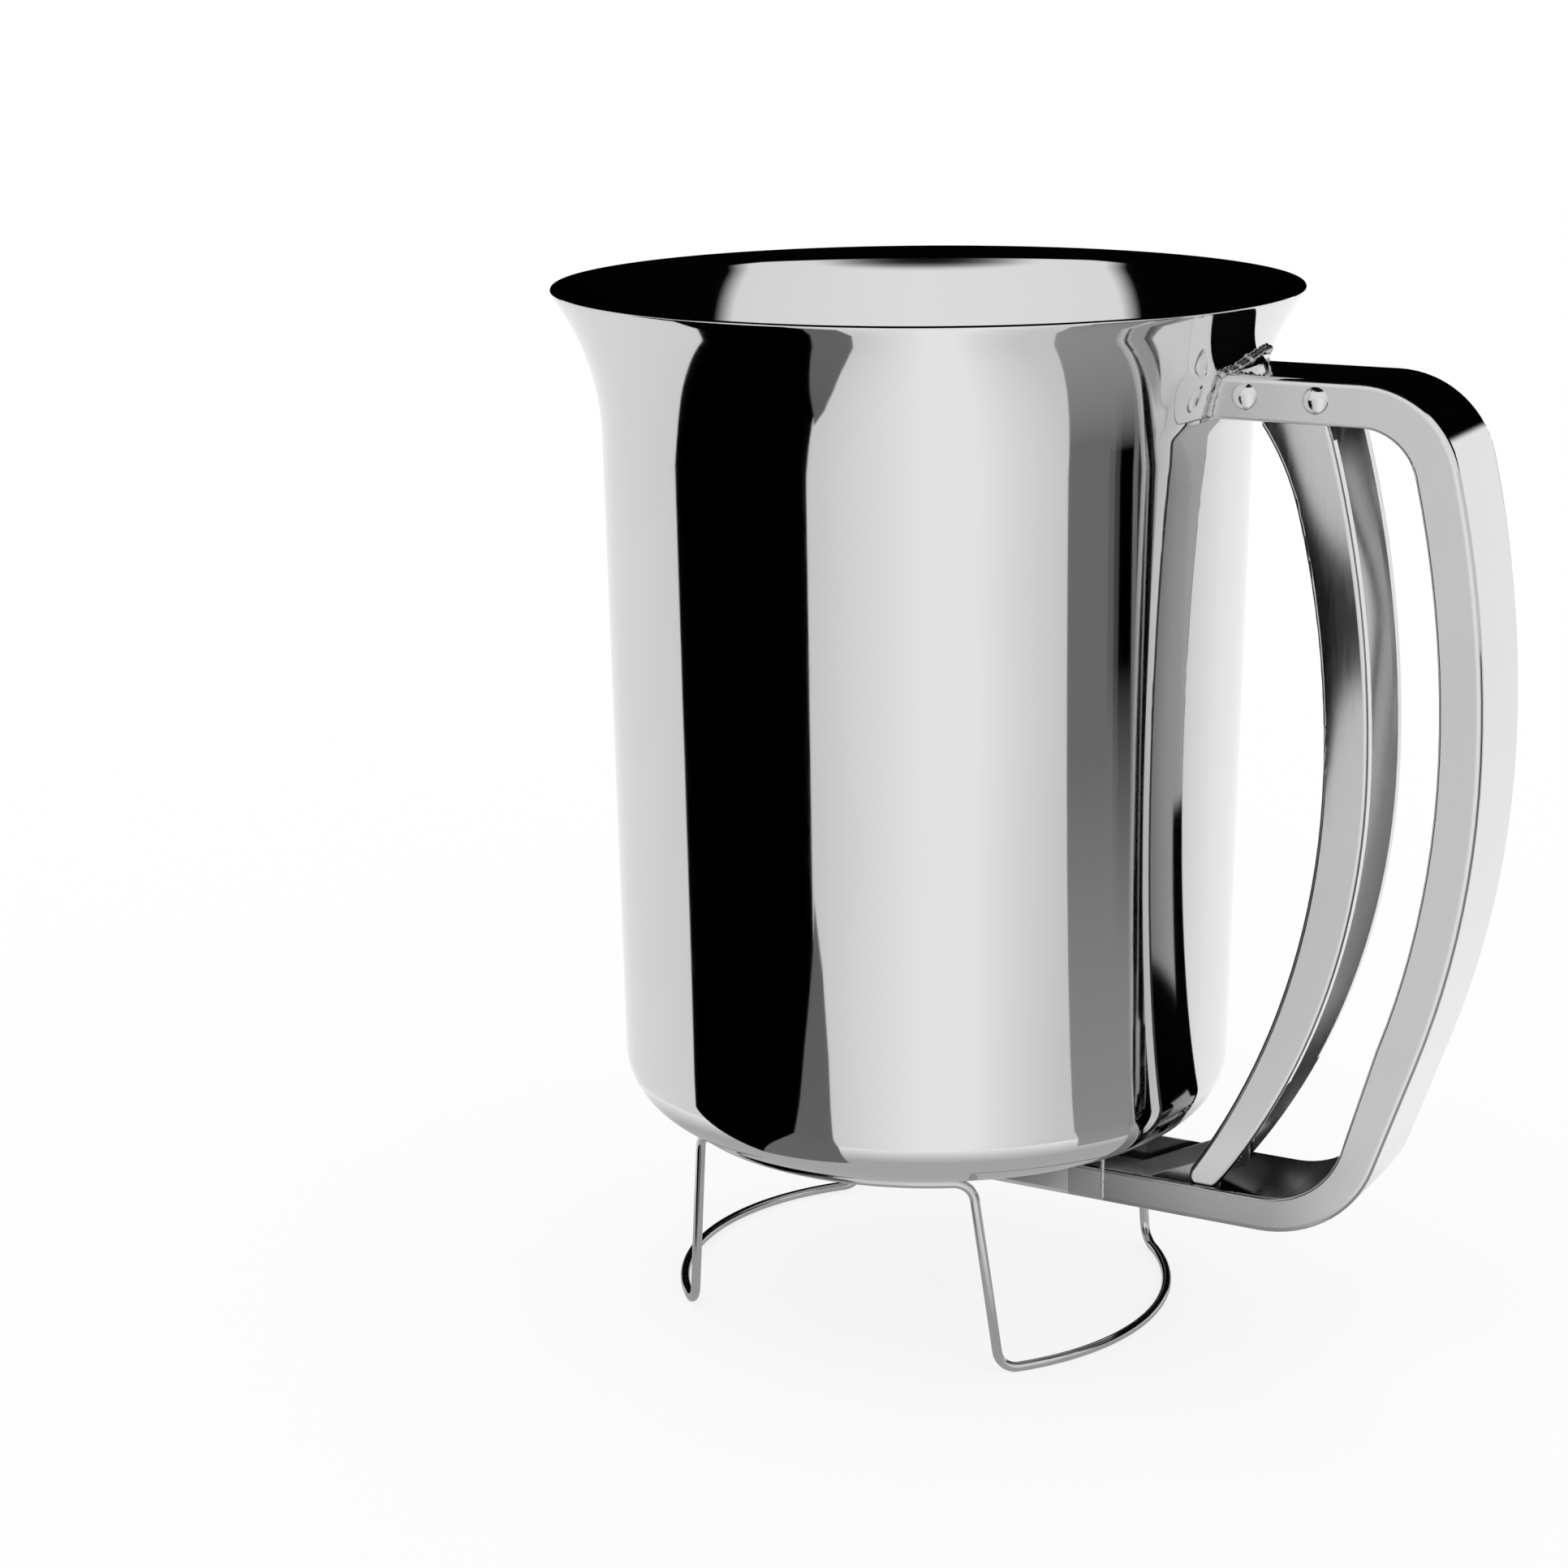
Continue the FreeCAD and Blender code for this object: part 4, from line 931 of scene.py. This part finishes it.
# Painted shade: a black sheet where the standing card darkens the table.
card("card_painted_shade", on_table(CARD_SHADE_SHEET), (0.0, 0.0))
(left_x, left_y), (right_x, right_y) = CARD_SHADE_SHEET[1], CARD_SHADE_SHEET[2]
card("standing_black_card",
     [(left_x, left_y, TABLE_Z), (right_x, right_y, TABLE_Z),
      (right_x, right_y, STANDING_CARD_TOP), (left_x, left_y, STANDING_CARD_TOP)], (0.0, 0.0))
# Painted shadow: a grey strip on the table beside the black sheet.
card("strip_painted_shadow", on_table(SHADOW_STRIP), SHADOW_STRIP_GREYS, SHADOW_STRIP_RADII)

# %% [markdown]
# A grey wedge lies towards the right, with narrower and darker wedges on top of it, and a soft
# grey disc under the object is a painted shadow: the cup's soft shadow on the table, as only
# mirrors see it.

# %% Wedges and the cup's painted shadow
WEDGE_END = 1400
ON_TOP = 0.2
# Each wedge: its name, two directions, its near end, its height, its greys and their radii.
WEDGES = [
    ("grey_wedge", -15.5, 13.0, 80, 0.0, (0.34, 0.17), (90, 420)),
    ("faint_wedge", 0.0, 2.4, 240, ON_TOP, (0.262, 0.13), (240, 520)),
    ("dim_wedge", 2.4, 4.4, 240, ON_TOP, (0.262, 0.06), (240, 520)),
    ("black_wedge", 4.4, 10.0, 240, ON_TOP, (0.262, 0.0), (240, 520)),
    ("dark_wedge", 12.0, 16.0, 175, ON_TOP, (0.03, 0.03), (0, 1)),
]
# The cup's painted shadow: a grey disc under it, darkest near the middle.
CUP_SHADOW_CENTRE = (-18.0, 0.0)
CUP_SHADOW_RADII = (68.0, 106.0)
CUP_SHADOW_GREYS = (0.46, 0.98)
CUP_SHADOW_LIFT = -0.5


def sector(first, last, inner, outer, steps=12):
    """Corners of a wedge between two compass directions and two radii round the vessel."""
    a = np.radians(np.linspace(first, last, steps))
    near = np.stack([AXIS_X + inner * np.cos(a), inner * np.sin(a)], axis=-1)
    far = np.stack([AXIS_X + outer * np.cos(a), outer * np.sin(a)], axis=-1)
    return np.concatenate([near, far[::-1]]).tolist()


def disc(centre, radius, steps=64):
    """Corners of a round sheet."""
    a = np.linspace(0, 2 * np.pi, steps, endpoint=False)
    return np.stack([centre[0] + radius * np.cos(a), centre[1] + radius * np.sin(a)], -1).tolist()


for name, first, last, near_end, lift, greys, radii in WEDGES:
    card(name, on_table(sector(first, last, near_end, WEDGE_END), lift), greys, radii)
# Painted shadow: the cup's soft shadow on the table, seen only by mirrors.
card("cup_painted_shadow", on_table(disc(CUP_SHADOW_CENTRE, CUP_SHADOW_RADII[1]), CUP_SHADOW_LIFT), CUP_SHADOW_GREYS, CUP_SHADOW_RADII,
     CUP_SHADOW_CENTRE)

# %% [markdown]
# The floor is plain white paper, and it takes the soft shadow of the stand. The camera sees it
# mixed with pure white, so that it runs into the background and keeps only a light shadow.

# %% Floor
FLOOR_METRES = 6.0
FLOOR_WHITE = 0.8
FIBRE_SCALE = 900.0
FIBRE_DETAIL = 2.0


def make_floor(size):
    """A square of paper at height zero, size metres across."""
    half = size / 2
    mesh = bpy.data.meshes.new("floor")
    mesh.from_pydata([(-half, -half, 0), (half, -half, 0), (half, half, 0), (-half, half, 0)],
                     [], [(0, 1, 2, 3)])
    floor = bpy.data.objects.new("floor", mesh)
    bpy.context.scene.collection.objects.link(floor)
    paper, tree, shader = new_material("white_paper")
    coords = add(tree, "ShaderNodeTexCoord").outputs["Object"]
    fibre = add(tree, "ShaderNodeTexNoise", Vector=coords, Scale=FIBRE_SCALE,
                Detail=FIBRE_DETAIL)
    colour = add(tree, "ShaderNodeMix", {"data_type": "RGBA"}, Factor=fibre.outputs["Fac"],
                 i6=linear("#FDFDFD"), i7=linear("#FFFFFF"))
    tree.links.new(colour.outputs[2], shader.inputs["Base Color"])
    shader.inputs["Roughness"].default_value = 1.0
    shader.inputs["Specular IOR Level"].default_value = 0.0
    output = shader.outputs[0].links[0].to_node
    camera_ray = add(tree, "ShaderNodeLightPath").outputs["Is Camera Ray"]
    share = add(tree, "ShaderNodeMath", TIMES, i0=camera_ray, i1=FLOOR_WHITE)
    white = add(tree, "ShaderNodeEmission", Strength=1.0)
    mixed = add(tree, "ShaderNodeMixShader", Fac=share.outputs[0], i1=shader.outputs[0],
                i2=white.outputs[0])
    tree.links.new(mixed.outputs[0], output.inputs[0])
    mesh.materials.append(paper)
    floor.visible_glossy = False


make_floor(FLOOR_METRES)
print("floor", FLOOR_METRES, "metres across")

# %% [markdown]
# The camera stands where the photograph was taken from. Its place was worked out from the
# picture: the rim's ellipse gives the height and the lean, the base and the handle give the
# distance.

# %% Camera
EYE = Vector((215.89, -472.57, 228.04)) * MM
FORWARD = Vector((-0.46806, 0.84590, -0.25567)).normalized()
UP = Vector((-0.11465, 0.22875, 0.96671))
LENS_MM = 74.76
SENSOR_MM = 36.0
NEAREST_METRES = 0.01


def make_camera():
    """Camera at the eye point, with its axes from the view direction and the up direction."""
    right = FORWARD.cross(UP).normalized()
    up = right.cross(FORWARD)
    data = bpy.data.cameras.new("camera")
    data.lens = LENS_MM
    data.sensor_width = SENSOR_MM
    data.sensor_fit = "HORIZONTAL"
    data.clip_start = NEAREST_METRES
    camera = bpy.data.objects.new("camera", data)
    bpy.context.scene.collection.objects.link(camera)
    axes = Matrix((right, up, -FORWARD)).transposed()
    camera.matrix_world = Matrix.Translation(EYE) @ axes.to_4x4()
    bpy.context.scene.camera = camera


make_camera()
bpy.context.scene.view_settings.view_transform = "Standard"
print("camera", round(EYE.length, 3), "metres from the origin")
